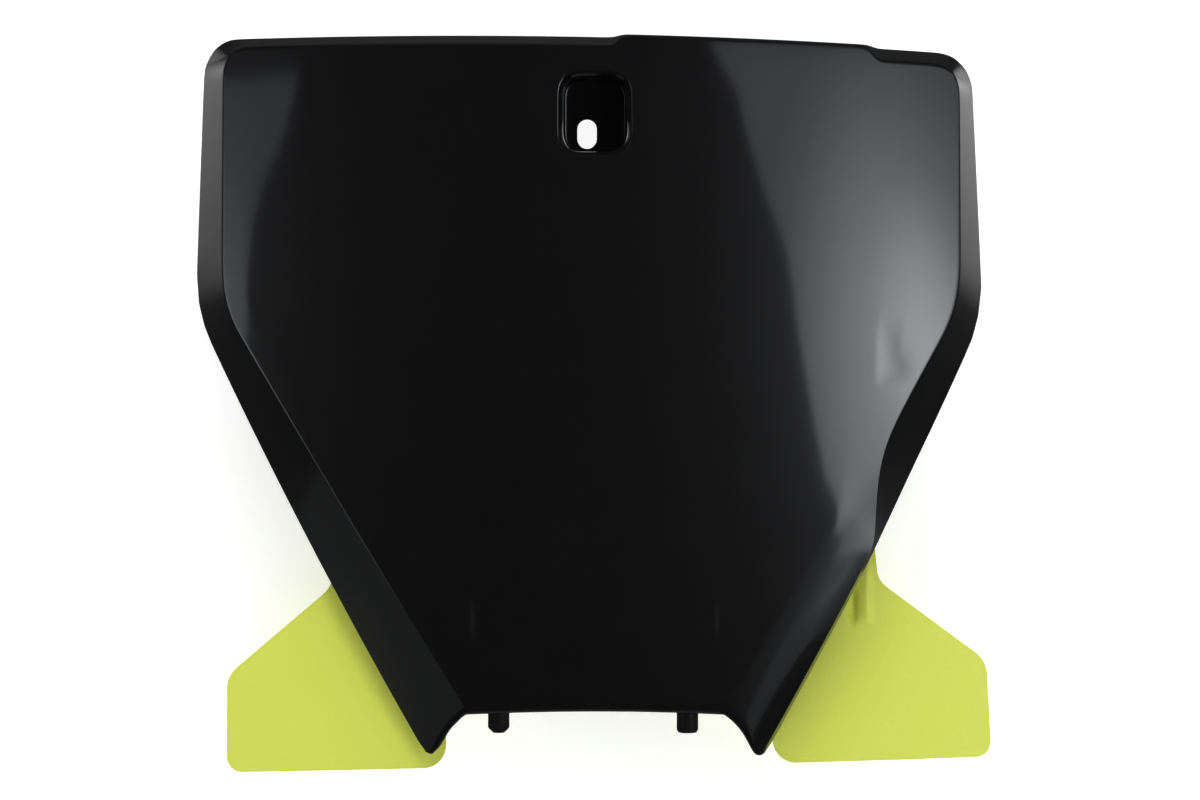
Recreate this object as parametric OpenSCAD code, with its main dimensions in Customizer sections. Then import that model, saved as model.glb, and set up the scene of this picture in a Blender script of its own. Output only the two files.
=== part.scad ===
// Racing number board: a moulded shell plate with a recessed mounting pocket, two locating lugs
// and a pair of separate coloured wings screwed behind its lower corners.
// It stands upright as on the machine: face towards -Y, +Z up, origin at the mounting slot's seat.

/* [Face] */
// Thickness of the moulded wall
wall = 2.2; // [1.6:0.1:3]
// Radius of the face across its top
face_r_top = 330; // [260:5:600]
// Radius of the face across its bottom
face_r_bottom = 420; // [260:5:600]
// Radius of the face from top to bottom
face_r_rise = 1600; // [900:50:4000]
// Height of the most forward line of the face, from the pocket centre
face_front_z = -60; // [-100:1:-20]

/* [Outline] */
// Height of the top edge at the centre line, from the pocket centre
top_z = 25.1; // [22:0.1:35]
// Fall of the top edge towards the right, in degrees
top_tilt = 1.17; // [0:0.01:2]
// Radius of the crown of the top edge
top_crown_r = 6200; // [3000:100:20000]
// Depth of the bottom edge at the centre line, below the pocket centre
bottom_z = 192.3; // [170:0.1:210]
// Rise of the bottom edge between the horns
bottom_arch = 1.2; // [0:0.1:3]
// Half the length of the bottom edge between the horns
bottom_half = 41.7; // [38:0.1:48]
// Distance of the left rim from the centre line at the shoulder
left_rim_x = 131.5; // [125:0.1:140]
// Distance of the right rim from the centre line at the shoulder
right_rim_x = 127.5; // [122:0.1:140]
// Lean of the left rim between its shoulder and the top
left_rim_lean = 3; // [2:0.1:6]
// Lean of the right rim between its shoulder and the top
right_rim_lean = 4; // [2:0.1:6]
// Depth of the rims' shoulders below the pocket centre
shoulder_z = 64; // [50:1:90]
// How much higher the left rim's shoulder lies
left_shoulder_rise = 1.9; // [0:0.1:4]
// Half the length of the bend in the rim at a shoulder
shoulder_soft = 11; // [4:1:20]
// Radius of the two top corners of the outline
corner_r = 11.6; // [6:0.1:14]
// How far each rim bellies out between its shoulder and its horn
rim_belly = 1.8; // [0:0.1:3]

/* [Flanges] */
// Distance of the left crease from the centre line above the shoulder
left_crease_x = 121.4; // [115:0.1:124]
// Distance of the right crease from the centre line above the shoulder
right_crease_x = 118.5; // [112:0.1:120]
// How much higher the crease bends than the rim
crease_lead = 3; // [0:0.5:8]
// Half the length of the bend in a crease
crease_soft = 10; // [4:1:16]
// Radius of the face's top corners
face_corner_r = 8; // [5:0.1:10]
// How far the flange runs back at the top corners
flange_depth_top = 10.5; // [6:0.5:14]
// How far the flange runs back at the shoulders
flange_depth_shoulder = 13.3; // [8:0.5:18]
// How far the flange runs back along the lower sides
flange_depth_low = 15.5; // [8:0.5:20]

/* [Top lip] */
// Height of the folded band left of the raised land
left_band = 3.2; // [2:0.1:5]
// Height of the folded band right of the raised land
right_band = 4.2; // [2:0.1:6]
// How far the folded band runs back
band_depth = 5; // [2:0.5:8]
// Depth of the lip's return wall behind the band
lip_depth = 5; // [3:0.5:12]
// Left end of the raised land
land_x0 = 5.8; // [0:0.1:20]
// Right end of the raised land
land_x1 = 91.5; // [80:0.1:98]
// Height of the land above the rest of the edge
land_rise = 0.7; // [0.4:0.1:2]
// Length of the slope at each end of the land
land_slope = 2.9; // [1:0.1:6]
// Roundover along the top of the land
land_roll = 0.8; // [0.4:0.1:1.5]

/* [Lower right facet] */
// Distance of the upright crease of the widened side from the centre line
facet_crease_x = 90.2; // [84:0.1:94]
// Roundness of the bend at the top of the upright crease
facet_crease_soft = 6; // [1:0.5:12]
// Distance of the facet's upper corner from the centre line
facet_apex_x = 79.7; // [70:0.1:84]
// Depth of the facet's upper corner below the pocket centre
facet_apex_z = 128.3; // [115:0.1:140]
// Half the length of the bend in the facet's line at its upper corner
facet_soft = 4; // [1:1:10]
// Level where the facet starts to fall away, below the pocket centre
facet_start_z = 108; // [95:1:120]
// How far the facet falls back at the horn
facet_drop = 8; // [2:0.5:12]
// Width of the roundover along the facet's free edge
edge_roll = 1.1; // [0.6:0.1:2]
// Depth of the roundover along the facet's free edge
edge_roll_depth = 3; // [2:0.1:5]

/* [Horns] */
// Distance of each horn tip from the centre line
horn_x = 53.35; // [48:0.1:58]
// Depth of the horn tips below the pocket centre
horn_z = 207.4; // [198:0.1:220]
// Radius of the horn tips
horn_r = 2.6; // [1.5:0.1:3.5]
// Height of the roundover along the bottom edge
bottom_roll = 2.2; // [1:0.1:4]
// Depth of the roundover along the bottom edge
bottom_roll_depth = 3; // [1:0.1:5]

/* [Mounting pocket] */
// Clear width of the pocket
pocket_w = 20.5; // [18:0.1:26]
// Clear height of the pocket
pocket_h = 24.1; // [20:0.1:30]
// Radius of the pocket's corners
pocket_r = 5; // [3:0.1:6]
// Width of the flared lip round the pocket's mouth
pocket_flare = 1.6; // [0.6:0.1:2.4]
// Depth of the seat face behind the front of the face
seat_depth = 19.7; // [14:0.1:26]
// Thickness of the pocket's floor
floor_t = 2.4; // [1.6:0.1:4]
// Width of the mounting slot
slot_w = 6.3; // [5:0.1:8]
// Height of the mounting slot
slot_h = 9.6; // [8:0.1:12]
// Distance of the slot left of the pocket centre
slot_left = 2.6; // [0:0.1:4]
// Distance of the slot below the pocket centre
slot_down = 5.5; // [0:0.1:6.5]

/* [Locating lugs] */
// Diameter of a lug
lug_d = 7; // [5:0.1:9]
// Distance of the left lug from the centre line
left_lug_x = 31.3; // [26:0.1:34]
// Distance of the right lug from the centre line
right_lug_x = 30; // [26:0.1:34]
// Depth of the lugs' ends below the pocket centre
lug_end_z = 199.9; // [196:0.1:206]
// Depth of the lugs' axes behind the front of the face
lug_depth = 18; // [16:0.5:20]
// Height of the pointed end of the left lug
left_lug_tip = 1.6; // [0.4:0.1:2.5]
// Height of the chamfered end of the right lug
right_lug_tip = 0.7; // [0.4:0.1:2.5]
// Diameter of a lug's thicker root behind the bottom edge
lug_root_d = 8; // [7:0.1:10]
// Thickness of the ribs that carry the lugs
rib_t = 2.4; // [1.6:0.1:3]
// Height of the ribs that carry the lugs
rib_h = 24; // [16:1:30]

/* [Wings] */
// Thickness of a wing
wing_t = 2; // [1.5:0.1:3]
// Radius of a wing's sheet about an upright axis
wing_r = 600; // [300:10:1200]
// Depth of the wings' front behind the front of the face
wing_depth = 28; // [27:0.5:34]
// Distance of the left wing's inner edge from the centre line
left_wing_x = 48.6; // [46:0.1:52]
// Distance of the right wing's inner edge from the centre line
right_wing_x = 58.4; // [54:0.1:61]
// Depth of the left wing's inner lower corner below the pocket centre
left_wing_z = 212.3; // [208:0.1:218]
// Depth of the right wing's inner lower corner below the pocket centre
right_wing_z = 210.9; // [208:0.1:218]
// Width of the left wing
left_wing_w = 72.7; // [66:0.1:80]
// Width of the right wing
right_wing_w = 72.2; // [66:0.1:80]
// Tilt of the left wing, in degrees, outer end down
left_wing_tilt = 1.6; // [0:0.1:3]
// Tilt of the right wing, in degrees, outer end up
right_wing_tilt = 1.3; // [0:0.1:3]
// Height of a wing's outer shoulder
wing_shoulder_h = 31.8; // [28:0.1:38]
// Distance of the left wing's neck from its inner edge
left_neck_w = 36.2; // [30:0.1:40]
// Distance of the right wing's neck from its inner edge
right_neck_w = 35.8; // [30:0.1:40]
// Height of the left wing's neck
left_neck_h = 60.2; // [56:0.1:62]
// Height of the right wing's neck
right_neck_h = 59; // [56:0.1:62]
// Height of a wing's hidden upper edge above its neck
wing_rise = 13.2; // [9:0.1:16]
// Height of a wing's hidden tab above its upper screw
tab_rise = 23.2; // [12:0.1:26]
// Width of the wing's hidden tab left round the screw bosses
tab_margin = 2; // [1:0.5:4]

/* [Wing screws] */
// Distance of the screw bosses from the centre line
boss_x = 39.5; // [38:0.1:41]
// Depth of the upper bosses below the pocket centre
boss_upper_z = 161.5; // [156:0.5:166]
// Distance from an upper boss down to the lower one
boss_pitch = 20; // [14:0.5:22]
// Diameter of a boss
boss_d = 6.4; // [5.5:0.1:7]
// Diameter of a screw's shank
screw_d = 2.9; // [2.2:0.1:3.5]
// Length of a screw under its head
screw_l = 11; // [8:0.5:13]
// Diameter of a screw's head
screw_head_d = 5.6; // [5:0.1:7]
// Height of a screw's head
screw_head_h = 1.8; // [1.2:0.1:2.5]
// Clearance of a screw in its hole in the wing, all round
screw_play = 0.3; // [0.1:0.05:0.6]

/* [Hidden] */
$fn = 64;

// Cells of the shell's lattice across each strip of the plate and from top to bottom
flange_cells = 5;
left_cells = 10;
land_cells = 7;
facet_cells = 5;
row_cells = 38;
// Share of the lattice's rows that is crowded towards the top and bottom edges
row_crowding = 0.5;
arc_steps = 8;
// Share of a corner's radius between the corner and the middle of its arc, along each side
arc_mid = 1 - sqrt(0.5);
seat_y = seat_depth - floor_t;
eps = 0.01;
// Share of a horn's inner side that its rounded tip takes, and where its rim ends above the tip
tip_share = 1 / flange_cells;
foot_rise = 0.45;

function mix(a, b, t) = a + (b - a) * t;
function clamped(t) = min(1, max(0, t));
function smooth(t) = let (c = clamped(t)) c * c * (3 - 2 * c);
function softmax(a, b, k) = (a + b + sqrt((a - b) * (a - b) + k * k)) / 2;
function unit(v) = v / norm(v);
function bezier(p, t) = p[0] * pow(1 - t, 3) + p[1] * 3 * t * pow(1 - t, 2)
    + p[2] * 3 * t * t * (1 - t) + p[3] * pow(t, 3);

// How far a line at distance d past the start of a quarter round of radius r has turned inwards
function arc_in(r, d) = d <= 0 ? 0 : r - sqrt(max(0, r * r - d * d));

// Two straight runs of slope up and down that meet at d = 0 in a bend of half length h
function bent(d, up, down, h) = abs(d) > h ? (d > 0 ? up : down) * d
    : (up + down) * d / 2 + (up - down) * (d * d + h * h) / (4 * h);

// Front of the face at x and z, measured back from its most forward point
function face_y(x, z) =
    let (t = clamped((z + bottom_z) / (top_z + bottom_z)))
    x * x / 2 * mix(1 / face_r_bottom, 1 / face_r_top, t)
    + pow(z - face_front_z, 2) / (2 * face_r_rise);

// Top edge of the plain outline, its raised land and the crease below it
function edge_z(x) = top_z - x * tan(top_tilt) - x * x / (2 * top_crown_r);
function land(x) = clamped((x - land_x0) / land_slope) * clamped((land_x1 - x) / land_slope);
function band_h(x) = x < (land_x0 + land_x1) / 2 ? left_band : right_band;
function top_edge_z(x) = edge_z(x) + land_rise * land(x);
function top_crease_z(x) = edge_z(x) - mix(band_h(x), land_roll - land_rise, land(x));

// Bottom edge between the horns
function bottom_edge_z(x) = -bottom_z - bottom_arch * pow(x / bottom_half, 2);

// Distance of a rim and of a crease from the centre line; side is -1 on the left and 1 on the right
function rim_at_shoulder(side) = side < 0 ? left_rim_x : right_rim_x;
function crease_at_shoulder(side) = side < 0 ? left_crease_x : right_crease_x;
function rim_lean(side) = side < 0 ? left_rim_lean : right_rim_lean;
function rim_shoulder(side) = side < 0 ? shoulder_z - left_shoulder_rise : shoulder_z;
function rim_slope(side) =
    (rim_at_shoulder(side) - horn_x - horn_r) / (horn_z - horn_r / 2 - rim_shoulder(side));
function belly(u) = u < 0 || u > 1 ? 0 : rim_belly * 4 * u * (1 - u);
function crease_slope(side) =
    (crease_at_shoulder(side) - bottom_half) / (bottom_z - shoulder_z + crease_lead);
function straight_rim(side, z) = let (s = rim_shoulder(side))
    rim_at_shoulder(side) + belly((z + s) / (s - horn_z))
    + bent(z + s, -rim_lean(side) / (top_z + s), rim_slope(side), shoulder_soft);
function corner_z(side) = edge_z(side * (rim_at_shoulder(side) - rim_lean(side)));
function rim_x(side, z) = straight_rim(side, z) - arc_in(corner_r, z - corner_z(side) + corner_r)
    - arc_in(horn_r, horn_r - horn_z - z);
function straight_crease(side, z) = crease_at_shoulder(side)
    + bent(z + shoulder_z - crease_lead, 0, crease_slope(side), crease_soft);
function face_corner_z(side) = top_crease_z(side * crease_at_shoulder(side));
function crease_x(side, z) =
    let (x = straight_crease(side, z) - arc_in(face_corner_r, z - face_corner_z(side) + face_corner_r))
    side < 0 ? x : min(softmax(x, facet_crease_x, facet_crease_soft), rim_x(1, z) - edge_roll);
function facet_x(z) = facet_apex_x + bent(z + facet_apex_z,
    (land_x1 - land_slope - facet_apex_x) / (facet_apex_z + top_z),
    (facet_apex_x - bottom_half) / (bottom_z - facet_apex_z), facet_soft);

// How far the flange runs back from crease to rim, and how far the facet falls back
function flange_depth(z) = z > -shoulder_z
    ? mix(flange_depth_shoulder, flange_depth_top, clamped((z + shoulder_z) / (top_z + shoulder_z)))
    : mix(flange_depth_shoulder, flange_depth_low, clamped(-(z + shoulder_z) / shoulder_z));
function facet_fall(z) = facet_drop * smooth(-(z + facet_start_z) / (horn_z - facet_start_z));
function right_rim_depth(z) =
    let (t = smooth(-(z + facet_start_z) / (2 * (facet_apex_z - facet_start_z))))
    mix(flange_depth(z), edge_roll_depth, t);

// Levels of the five upright key lines, at the top crease and at the bottom crease: left rim,
// left crease, facet line, right crease and right rim
line_top = [
    corner_z(-1) - corner_r * arc_mid - left_band - 2,
    face_corner_z(-1) - face_corner_r * arc_mid,
    top_crease_z(land_x1 - land_slope),
    face_corner_z(1) - face_corner_r * arc_mid,
    corner_z(1) - corner_r * arc_mid - right_band - 2
];
line_foot = [
    -horn_z + horn_r * foot_rise,
    bottom_edge_z(-bottom_half) + bottom_roll,
    bottom_edge_z(bottom_half) + bottom_roll,
    -horn_z + horn_r * 0.75,
    -horn_z + horn_r * foot_rise
];
function line_x(k, z) = k == 0 ? -rim_x(-1, z) : k == 1 ? -crease_x(-1, z)
    : k == 2 ? facet_x(z) : k == 3 ? crease_x(1, z) : rim_x(1, z);
function line_y(k, z) = let (x = line_x(k, z))
    k == 0 ? face_y(line_x(1, z), z) + flange_depth(z)
    : k == 3 ? face_y(x, z) + facet_fall(z)
    : k == 4 ? face_y(line_x(3, z), z) + facet_fall(z) + right_rim_depth(z)
    : face_y(x, z);
function line_level(k, v) = mix(line_top[k], line_foot[k], v);

// Strips between the key lines, as [strip, share across it]
columns = concat(
    [for (i = [0:flange_cells - 1]) [0, i / flange_cells]],
    let (a = -line_x(1, line_top[1]), w = a + land_x1 - land_slope, s = (a + land_x0) / w)
    concat(
        [for (i = [0:left_cells]) [1, s * i / left_cells]],
        [for (i = [0:land_cells - 1]) [1, mix(s + land_slope / w, 1, i / land_cells)]]
    ),
    let (w = line_x(3, line_top[3]) - land_x1 + land_slope, s = land_slope / w)
    concat([[2, 0]], [for (i = [0:facet_cells - 1]) [2, mix(s, 1, i / facet_cells)]]),
    [for (i = [0:flange_cells]) [3, i / flange_cells]]
);
row_shares = [for (j = [0:row_cells])
    let (t = j / row_cells) mix(t, (1 - cos(180 * t)) / 2, row_crowding)];

// Rounded tip of a horn, from the end of its rim at u = 0 to its lowest point at u = 1
function horn_tip(side, u, grow) =
    let (
        low = [side * (horn_x + 0.1 * grow * bottom_roll), -horn_z + 0.6 * grow * bottom_roll],
        z = -horn_z + horn_r * mix(0.25, foot_rise, grow),
        end = [side * mix(horn_x + 0.66 * horn_r, rim_x(side, z), grow), z],
        turn = [mix(low.x, end.x, 0.58), low.y]
    )
    end * (1 - u) * (1 - u) + turn * 2 * u * (1 - u) + low * u * u;

// A horn from its rim, round its tip and up its inner side; grow moves it into the sheet
function horn_side(side, t, grow) = let (b = bottom_edge_z(bottom_half), g = grow * bottom_roll)
    t < tip_share ? horn_tip(side, t / tip_share, grow)
    : bezier([
        [side * (horn_x + 0.1 * g), -horn_z + 0.6 * g],
        [side * (horn_x - 3.4 + 0.5 * g), -horn_z + 0.7 * g],
        [side * (horn_x - 3.1 + 0.6 * g), mix(b, -horn_z, 0.44) + 0.3 * g],
        [side * bottom_half, b + g]
    ], (t - tip_share) / (1 - tip_share));

// Lattice point of the bottom crease or edge in strip k at share s, as [x, z]
function foot_point(k, s, grow) =
    k == 0 ? horn_side(-1, s, grow)
    : k == 1 ? let (x = mix(-bottom_half, bottom_half, s)) [x, bottom_edge_z(x) + grow * bottom_roll]
    : k == 2 ? horn_side(1, 1 - s * 0.9, grow)
    : horn_side(1, 0.1 * (1 - s), grow);

// Lattice point of the top crease in strip k at share s, as [x, z]
function crease_point(k, s) =
    let (z = mix(line_top[k], line_top[k + 1], s),
         x = mix(line_x(k, line_top[k]), line_x(k + 1, line_top[k + 1]), s))
    k == 0 || k == 3 ? [x, z]
    : let (side = x < 0 ? -1 : 1)
    [x, top_crease_z(x) - arc_in(face_corner_r, side * x - crease_at_shoulder(side) + face_corner_r)];

// Lattice point between the creases, as [x, y, z]
function main_point(k, s, v) =
    let (
        za = line_level(k, v),
        zb = line_level(k + 1, v),
        a = [line_x(k, za), za],
        b = [line_x(k + 1, zb), zb],
        top_pull = crease_point(k, s) - mix([line_x(k, line_top[k]), line_top[k]],
            [line_x(k + 1, line_top[k + 1]), line_top[k + 1]], s),
        foot_pull = foot_point(k, s, 1) - mix([line_x(k, line_foot[k]), line_foot[k]],
            [line_x(k + 1, line_foot[k + 1]), line_foot[k + 1]], s),
        p = mix(a, b, s) + top_pull * pow(1 - v, 6) + foot_pull * pow(v, 6)
    )
    [p.x, k == 1 ? face_y(p.x, p.y) : k == 2 ? face_y(p.x, p.y) + facet_fall(p.y) * s
        : mix(line_y(k, za), line_y(k + 1, zb), s), p.y];

// Lattice point of the top edge, back is how far the lip has run back behind it
function top_point(k, s, back) =
    let (
        c = main_point(k, s, 0),
        side = c.x < 0 ? -1 : 1,
        arc_x = rim_at_shoulder(side) - rim_lean(side) - corner_r,
        outer_x = side * (arc_x + corner_r * sqrt(0.5)),
        x = k == 0 ? mix(outer_x, line_x(1, line_top[1]), s)
            : k == 3 ? mix(line_x(3, line_top[3]), outer_x, s)
            : c.x,
        drop = arc_in(corner_r, side * x - arc_x)
    )
    [x, c.y + mix(band_depth, land_roll, land(x)) * (k == 0 ? mix(0.4, 1, s) : k == 3 ? mix(1, 0.4, s) : 1)
        + back * (lip_depth + (band_depth - land_roll) * land(x)), top_edge_z(x) - drop];

function edge_point(k, s) = let (p = foot_point(k, s, 0), c = main_point(k, s, 1))
    [p.x, c.y + (k == 1 ? bottom_roll_depth
        : mix(bottom_roll_depth, 1, k == 0 ? 1 - s : k == 2 ? s : 1)), p.y];

outer_grid = concat(
    [[for (c = columns) top_point(c[0], c[1], 1)]],
    [[for (c = columns) top_point(c[0], c[1], 0)]],
    [for (v = row_shares) [for (c = columns) main_point(c[0], c[1], v)]],
    [[for (c = columns) edge_point(c[0], c[1])]]
);
rows = len(outer_grid);
cols = len(columns);

// Directions along the rows and down the columns at a lattice point; side picks one neighbour or both
function grid_at(j, i) = outer_grid[min(rows - 1, max(0, j))][min(cols - 1, max(0, i))];
function way(p, q) = norm(q - p) < eps ? [0, 0, 0] : unit(q - p);
function along_row(j, i, side) = (side > 0 ? 0 : 1) * way(grid_at(j, i - 1), grid_at(j, i))
    + (side < 0 ? 0 : 1) * way(grid_at(j, i), grid_at(j, i + 1));
function down_column(j, i) = (j == top_crease_row ? 0 : 1) * way(grid_at(j - 1, i), grid_at(j, i))
    + (j == 1 ? 0 : 1) * way(grid_at(j, i), grid_at(j + 1, i));
function inward(j, i, side) = unit(cross(along_row(j, i, side), down_column(j, i)));

// Inner side of the wall: the lattice moved in by the wall, mitred along the two hard creases
top_crease_row = 2;
left_crease_col = flange_cells;
right_crease_col = cols - 1 - flange_cells;
function mitred(j, i) = let (m = inward(j, i, -1), n = inward(j, i, 1)) wall * (m + n) / (1 + m * n);
function near_tip(z) = smooth((5 * horn_r - horn_z - z) / (2 * horn_r));
function inner_sheet(j, i) = let (p = grid_at(j, i))
    p + mix(i == 0 || i == cols - 1 ? wall * inward(j, i, 0) : mitred(j, i), [0, wall, 0], near_tip(p.z));
function inner_main(j, i) =
    i < left_crease_col ? mix(inner_sheet(j, 0), inner_sheet(j, left_crease_col), i / left_crease_col)
    : i > right_crease_col ? mix(inner_sheet(j, right_crease_col), inner_sheet(j, cols - 1),
        (i - right_crease_col) / flange_cells)
    : inner_sheet(j, i);
function inner_lip(i, back) =
    let (p = grid_at(back ? 0 : 1, i), room = grid_at(top_crease_row, i).y + wall * 1.15 - p.y)
    p + wall * inward(0, i, 0) + [0, back ? 0 : max(0.3 * wall, room), 0];
function inner_at(j, i) =
    j < top_crease_row ? inner_lip(i, j == 0)
    : j == top_crease_row ? let (p = inner_main(j, i))
        [p.x, p.y, min(p.z - wall / 2, inner_lip(i, false).z - 0.15 * wall)]
    : inner_main(j, i);
inner_grid = [for (j = [0:rows - 1]) [for (i = [0:cols - 1]) inner_at(j, i)]];

// Closed skin between the outer and the inner lattice
module shell() {
    n = rows * cols;
    points = concat([for (r = outer_grid) each r], [for (r = inner_grid) each r]);
    rim = concat(
        [for (i = [0:cols - 1]) i],
        [for (j = [1:rows - 1]) j * cols + cols - 1],
        [for (i = [cols - 2:-1:0]) (rows - 1) * cols + i],
        [for (j = [rows - 2:-1:1]) j * cols]
    );
    faces = concat(
        [for (j = [0:rows - 2]) for (i = [0:cols - 2])
            let (a = j * cols + i, b = a + 1, c = a + cols, d = c + 1)
            each [[a, b, d], [a, d, c], [n + a, n + d, n + b], [n + a, n + c, n + d]]],
        [for (i = [0:len(rim) - 1]) let (a = rim[i], b = rim[(i + 1) % len(rim)])
            each [[a, n + b, b], [a, n + a, n + b]]]
    );
    polyhedron(points, faces, convexity = 6);
}

// Upright prism of an outline drawn in x and z, from y0 back to y1
module along_y(y0, y1) {
    translate([0, y1, 0])
        rotate([90, 0, 0])
            linear_extrude(y1 - y0) children();
}

// Round rod from y0 back to y1 at x and z
module rod_y(x, z, r, y0, y1) {
    translate([x, y1, z])
        rotate([90, 0, 0])
            cylinder(r = r, h = y1 - y0);
}

// Points of an outline with each corner rounded by its own radius
function corner_arc(a, b, c, r) =
    let (
        u = unit(a - b),
        w = unit(c - b),
        half = acos(u * w) / 2,
        centre = b + unit(u + w) * r / sin(half),
        p = b + u * r / tan(half) - centre,
        q = b + w * r / tan(half) - centre,
        start = atan2(p.y, p.x),
        turn = atan2(p.x * q.y - p.y * q.x, p * q)
    )
    [for (i = [0:arc_steps]) let (a = start + turn * i / arc_steps)
        centre + r * [cos(a), sin(a)]];
function rounded(corners, radii) = let (n = len(corners))
    [for (i = [0:n - 1])
        each corner_arc(corners[(i + n - 1) % n], corners[i], corners[(i + 1) % n], radii[i])];

module rounded_box(w, h, r) {
    polygon(rounded([[-w, -h] / 2, [w, -h] / 2, [w, h] / 2, [-w, h] / 2], [r, r, r, r]));
}

// The pocket's side walls end in the middle of the face's wall
pocket_rim_y = (face_y(pocket_w / 2 + wall, pocket_h / 2 + wall) + face_y(0, -pocket_h / 2) + wall) / 2;

module pocket_cup() {
    along_y(pocket_rim_y, seat_depth)
        rounded_box(pocket_w + 2 * wall, pocket_h + 2 * wall, pocket_r + wall);
}

module pocket_hollow() {
    along_y(-wall, seat_y)
        rounded_box(pocket_w, pocket_h, pocket_r);
    front_y = face_y(0, -pocket_h / 2);
    hull() {
        along_y(front_y - eps, front_y)
            rounded_box(pocket_w + 2 * pocket_flare, pocket_h + 2 * pocket_flare, pocket_r + pocket_flare);
        along_y(front_y + 2 * pocket_flare, front_y + 2 * pocket_flare + eps)
            rounded_box(pocket_w, pocket_h, pocket_r);
    }
}

module slot_hole() {
    travel = slot_h - slot_w;
    for (z = [-1, 1])
        rod_y(-slot_left, -slot_down + z * travel / 2, slot_w / 2, seat_y - wall, seat_depth + wall);
    along_y(seat_y - wall, seat_depth + wall)
        translate([-slot_left, -slot_down])
            square([slot_w, travel], center = true);
}

// Lug with its pointed end, on a thicker root that a rib joins to the back of the face
module lug(x, tip) {
    foot_top = bottom_z - rib_h;
    inner_y = face_y(x, -foot_top) + wall / 2;
    root_z = -bottom_z + bottom_roll;
    translate([x, lug_depth, -lug_end_z + tip])
        cylinder(d = lug_d, h = lug_end_z - tip + root_z);
    translate([x, lug_depth, -lug_end_z])
        cylinder(d1 = lug_d - 2 * tip, d2 = lug_d, h = tip);
    translate([x, lug_depth, root_z])
        cylinder(d = lug_root_d, h = rib_h / 2 - bottom_roll);
    translate([x - rib_t / 2, inner_y, root_z])
        cube([rib_t, lug_depth - inner_y, rib_h - bottom_roll]);
}

// Boss with its blind pilot hole; a rib above it makes the faint upright line on the face
module boss(x, z) {
    rod_y(x, z, boss_d / 2, face_y(x, z) + wall / 2, wing_front(x));
    along_y(face_y(x, z) + wall / 2, wing_front(x) - boss_d / 2)
        translate([x, z])
            square([rib_t, boss_d + 2 * rib_t], center = true);
}

boss_spots = [for (side = [-1, 1]) for (k = [0, 1]) [side * boss_x, -boss_upper_z - k * boss_pitch]];

// The wings' sheet bends back outwards from their hidden inner parts
function wing_front(x) = wing_depth + wing_r - sqrt(wing_r * wing_r - pow(max(0, abs(x) - boss_x), 2));

module face_plate() {
    color("#17181a")
        to_seat() difference() {
            union() {
                difference() {
                    shell();
                    pocket_hollow();
                }
                difference() {
                    pocket_cup();
                    pocket_hollow();
                }
                lug(-left_lug_x, left_lug_tip);
                lug(right_lug_x, right_lug_tip);
                for (p = boss_spots)
                    boss(p.x, p.y);
            }
            slot_hole();
            for (p = boss_spots)
                rod_y(p.x, p.y, screw_d / 2, wing_front(p.x) + wing_t - screw_l, wing_front(p.x) + eps);
        }
}

// Outline of a wing, drawn outwards from its inner lower corner; a hidden tab reaches in to the bosses
function wing_outline(w, neck_w, neck_h, tab, tab_top, tab_foot) = rounded([
    [0, 0],
    [w, 0],
    [w - 1, wing_shoulder_h],
    [neck_w, neck_h],
    [neck_w - 1, neck_h + wing_rise],
    [-tab, tab_top],
    [-tab, tab_foot],
    [0, tab_foot - tab / 2]
], [7.5, 5, 9, 7, 3, 3, 3, 3]);

// The outline turned by its tilt and moved to its corner, mirrored and run the other way on the left
function wing_placed(points, side, x0, z0, tilt) = let (n = len(points))
    [for (i = [0:n - 1]) let (p = points[side < 0 ? n - 1 - i : i])
        [side * (x0 + p.x * cos(tilt) - p.y * sin(tilt)), p.x * sin(tilt) + p.y * cos(tilt) - z0]];

module wing(side) {
    x0 = side < 0 ? left_wing_x : right_wing_x;
    z0 = side < 0 ? left_wing_z : right_wing_z;
    w = side < 0 ? left_wing_w : right_wing_w;
    neck_w = side < 0 ? left_neck_w : right_neck_w;
    neck_h = side < 0 ? left_neck_h : right_neck_h;
    tilt = side < 0 ? -left_wing_tilt : right_wing_tilt;
    tab = x0 - boss_x + boss_d / 2 + tab_margin;
    tab_top = z0 - boss_upper_z + tab_rise;
    tab_foot = z0 - boss_upper_z - boss_pitch - boss_d / 2 - tab_margin;
    difference() {
        intersection() {
            along_y(wing_depth - wall, wing_depth + 4 * wing_t + pow(x0 + w, 2) / (2 * wing_r))
                polygon(wing_placed(wing_outline(w, neck_w, neck_h, tab, tab_top, tab_foot),
                    side, x0, z0, tilt));
            wing_sheet(side);
        }
        for (p = boss_spots)
            rod_y(p.x, p.y, screw_d / 2 + screw_play, wing_depth - wall, wing_depth + 4 * wing_t);
    }
}

module wing_sheet(side) {
    translate([side * boss_x, wing_depth + wing_r, -1.5 * horn_z])
        difference() {
            cylinder(r = wing_r, h = 2 * horn_z, $fn = 400);
            translate([0, 0, -eps]) cylinder(r = wing_r - wing_t, h = 2 * horn_z + 2 * eps, $fn = 400);
        }
}

module left_wing() {
    color("#cdd95a") to_seat() wing(-1);
}

module right_wing() {
    color("#cdd95a") to_seat() wing(1);
}

module wing_screws() {
    color("#8d9094")
        to_seat() for (p = boss_spots) {
            head_y = wing_front(p.x) + wing_t;
            rod_y(p.x, p.y, screw_d / 2, head_y - screw_l, head_y + eps);
            rod_y(p.x, p.y, screw_head_d / 2, head_y, head_y + screw_head_h);
        }
}

// Moves the drawing so that its origin is the middle of the slot, on the seat behind the pocket's floor
module to_seat() {
    translate([slot_left, -seat_depth, slot_down]) children();
}

face_plate();
left_wing();
right_wing();
wing_screws();
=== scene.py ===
"""Looks of a racing number board: a black moulded plate with a mounting pocket and two coloured wings.

Lengths in the classes are millimetres along the drawing's own axes: x to the right and z up from the middle of
the pocket, y back from the most forward point of the face. placed() turns such a point into the frame's metres.
"""

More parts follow.
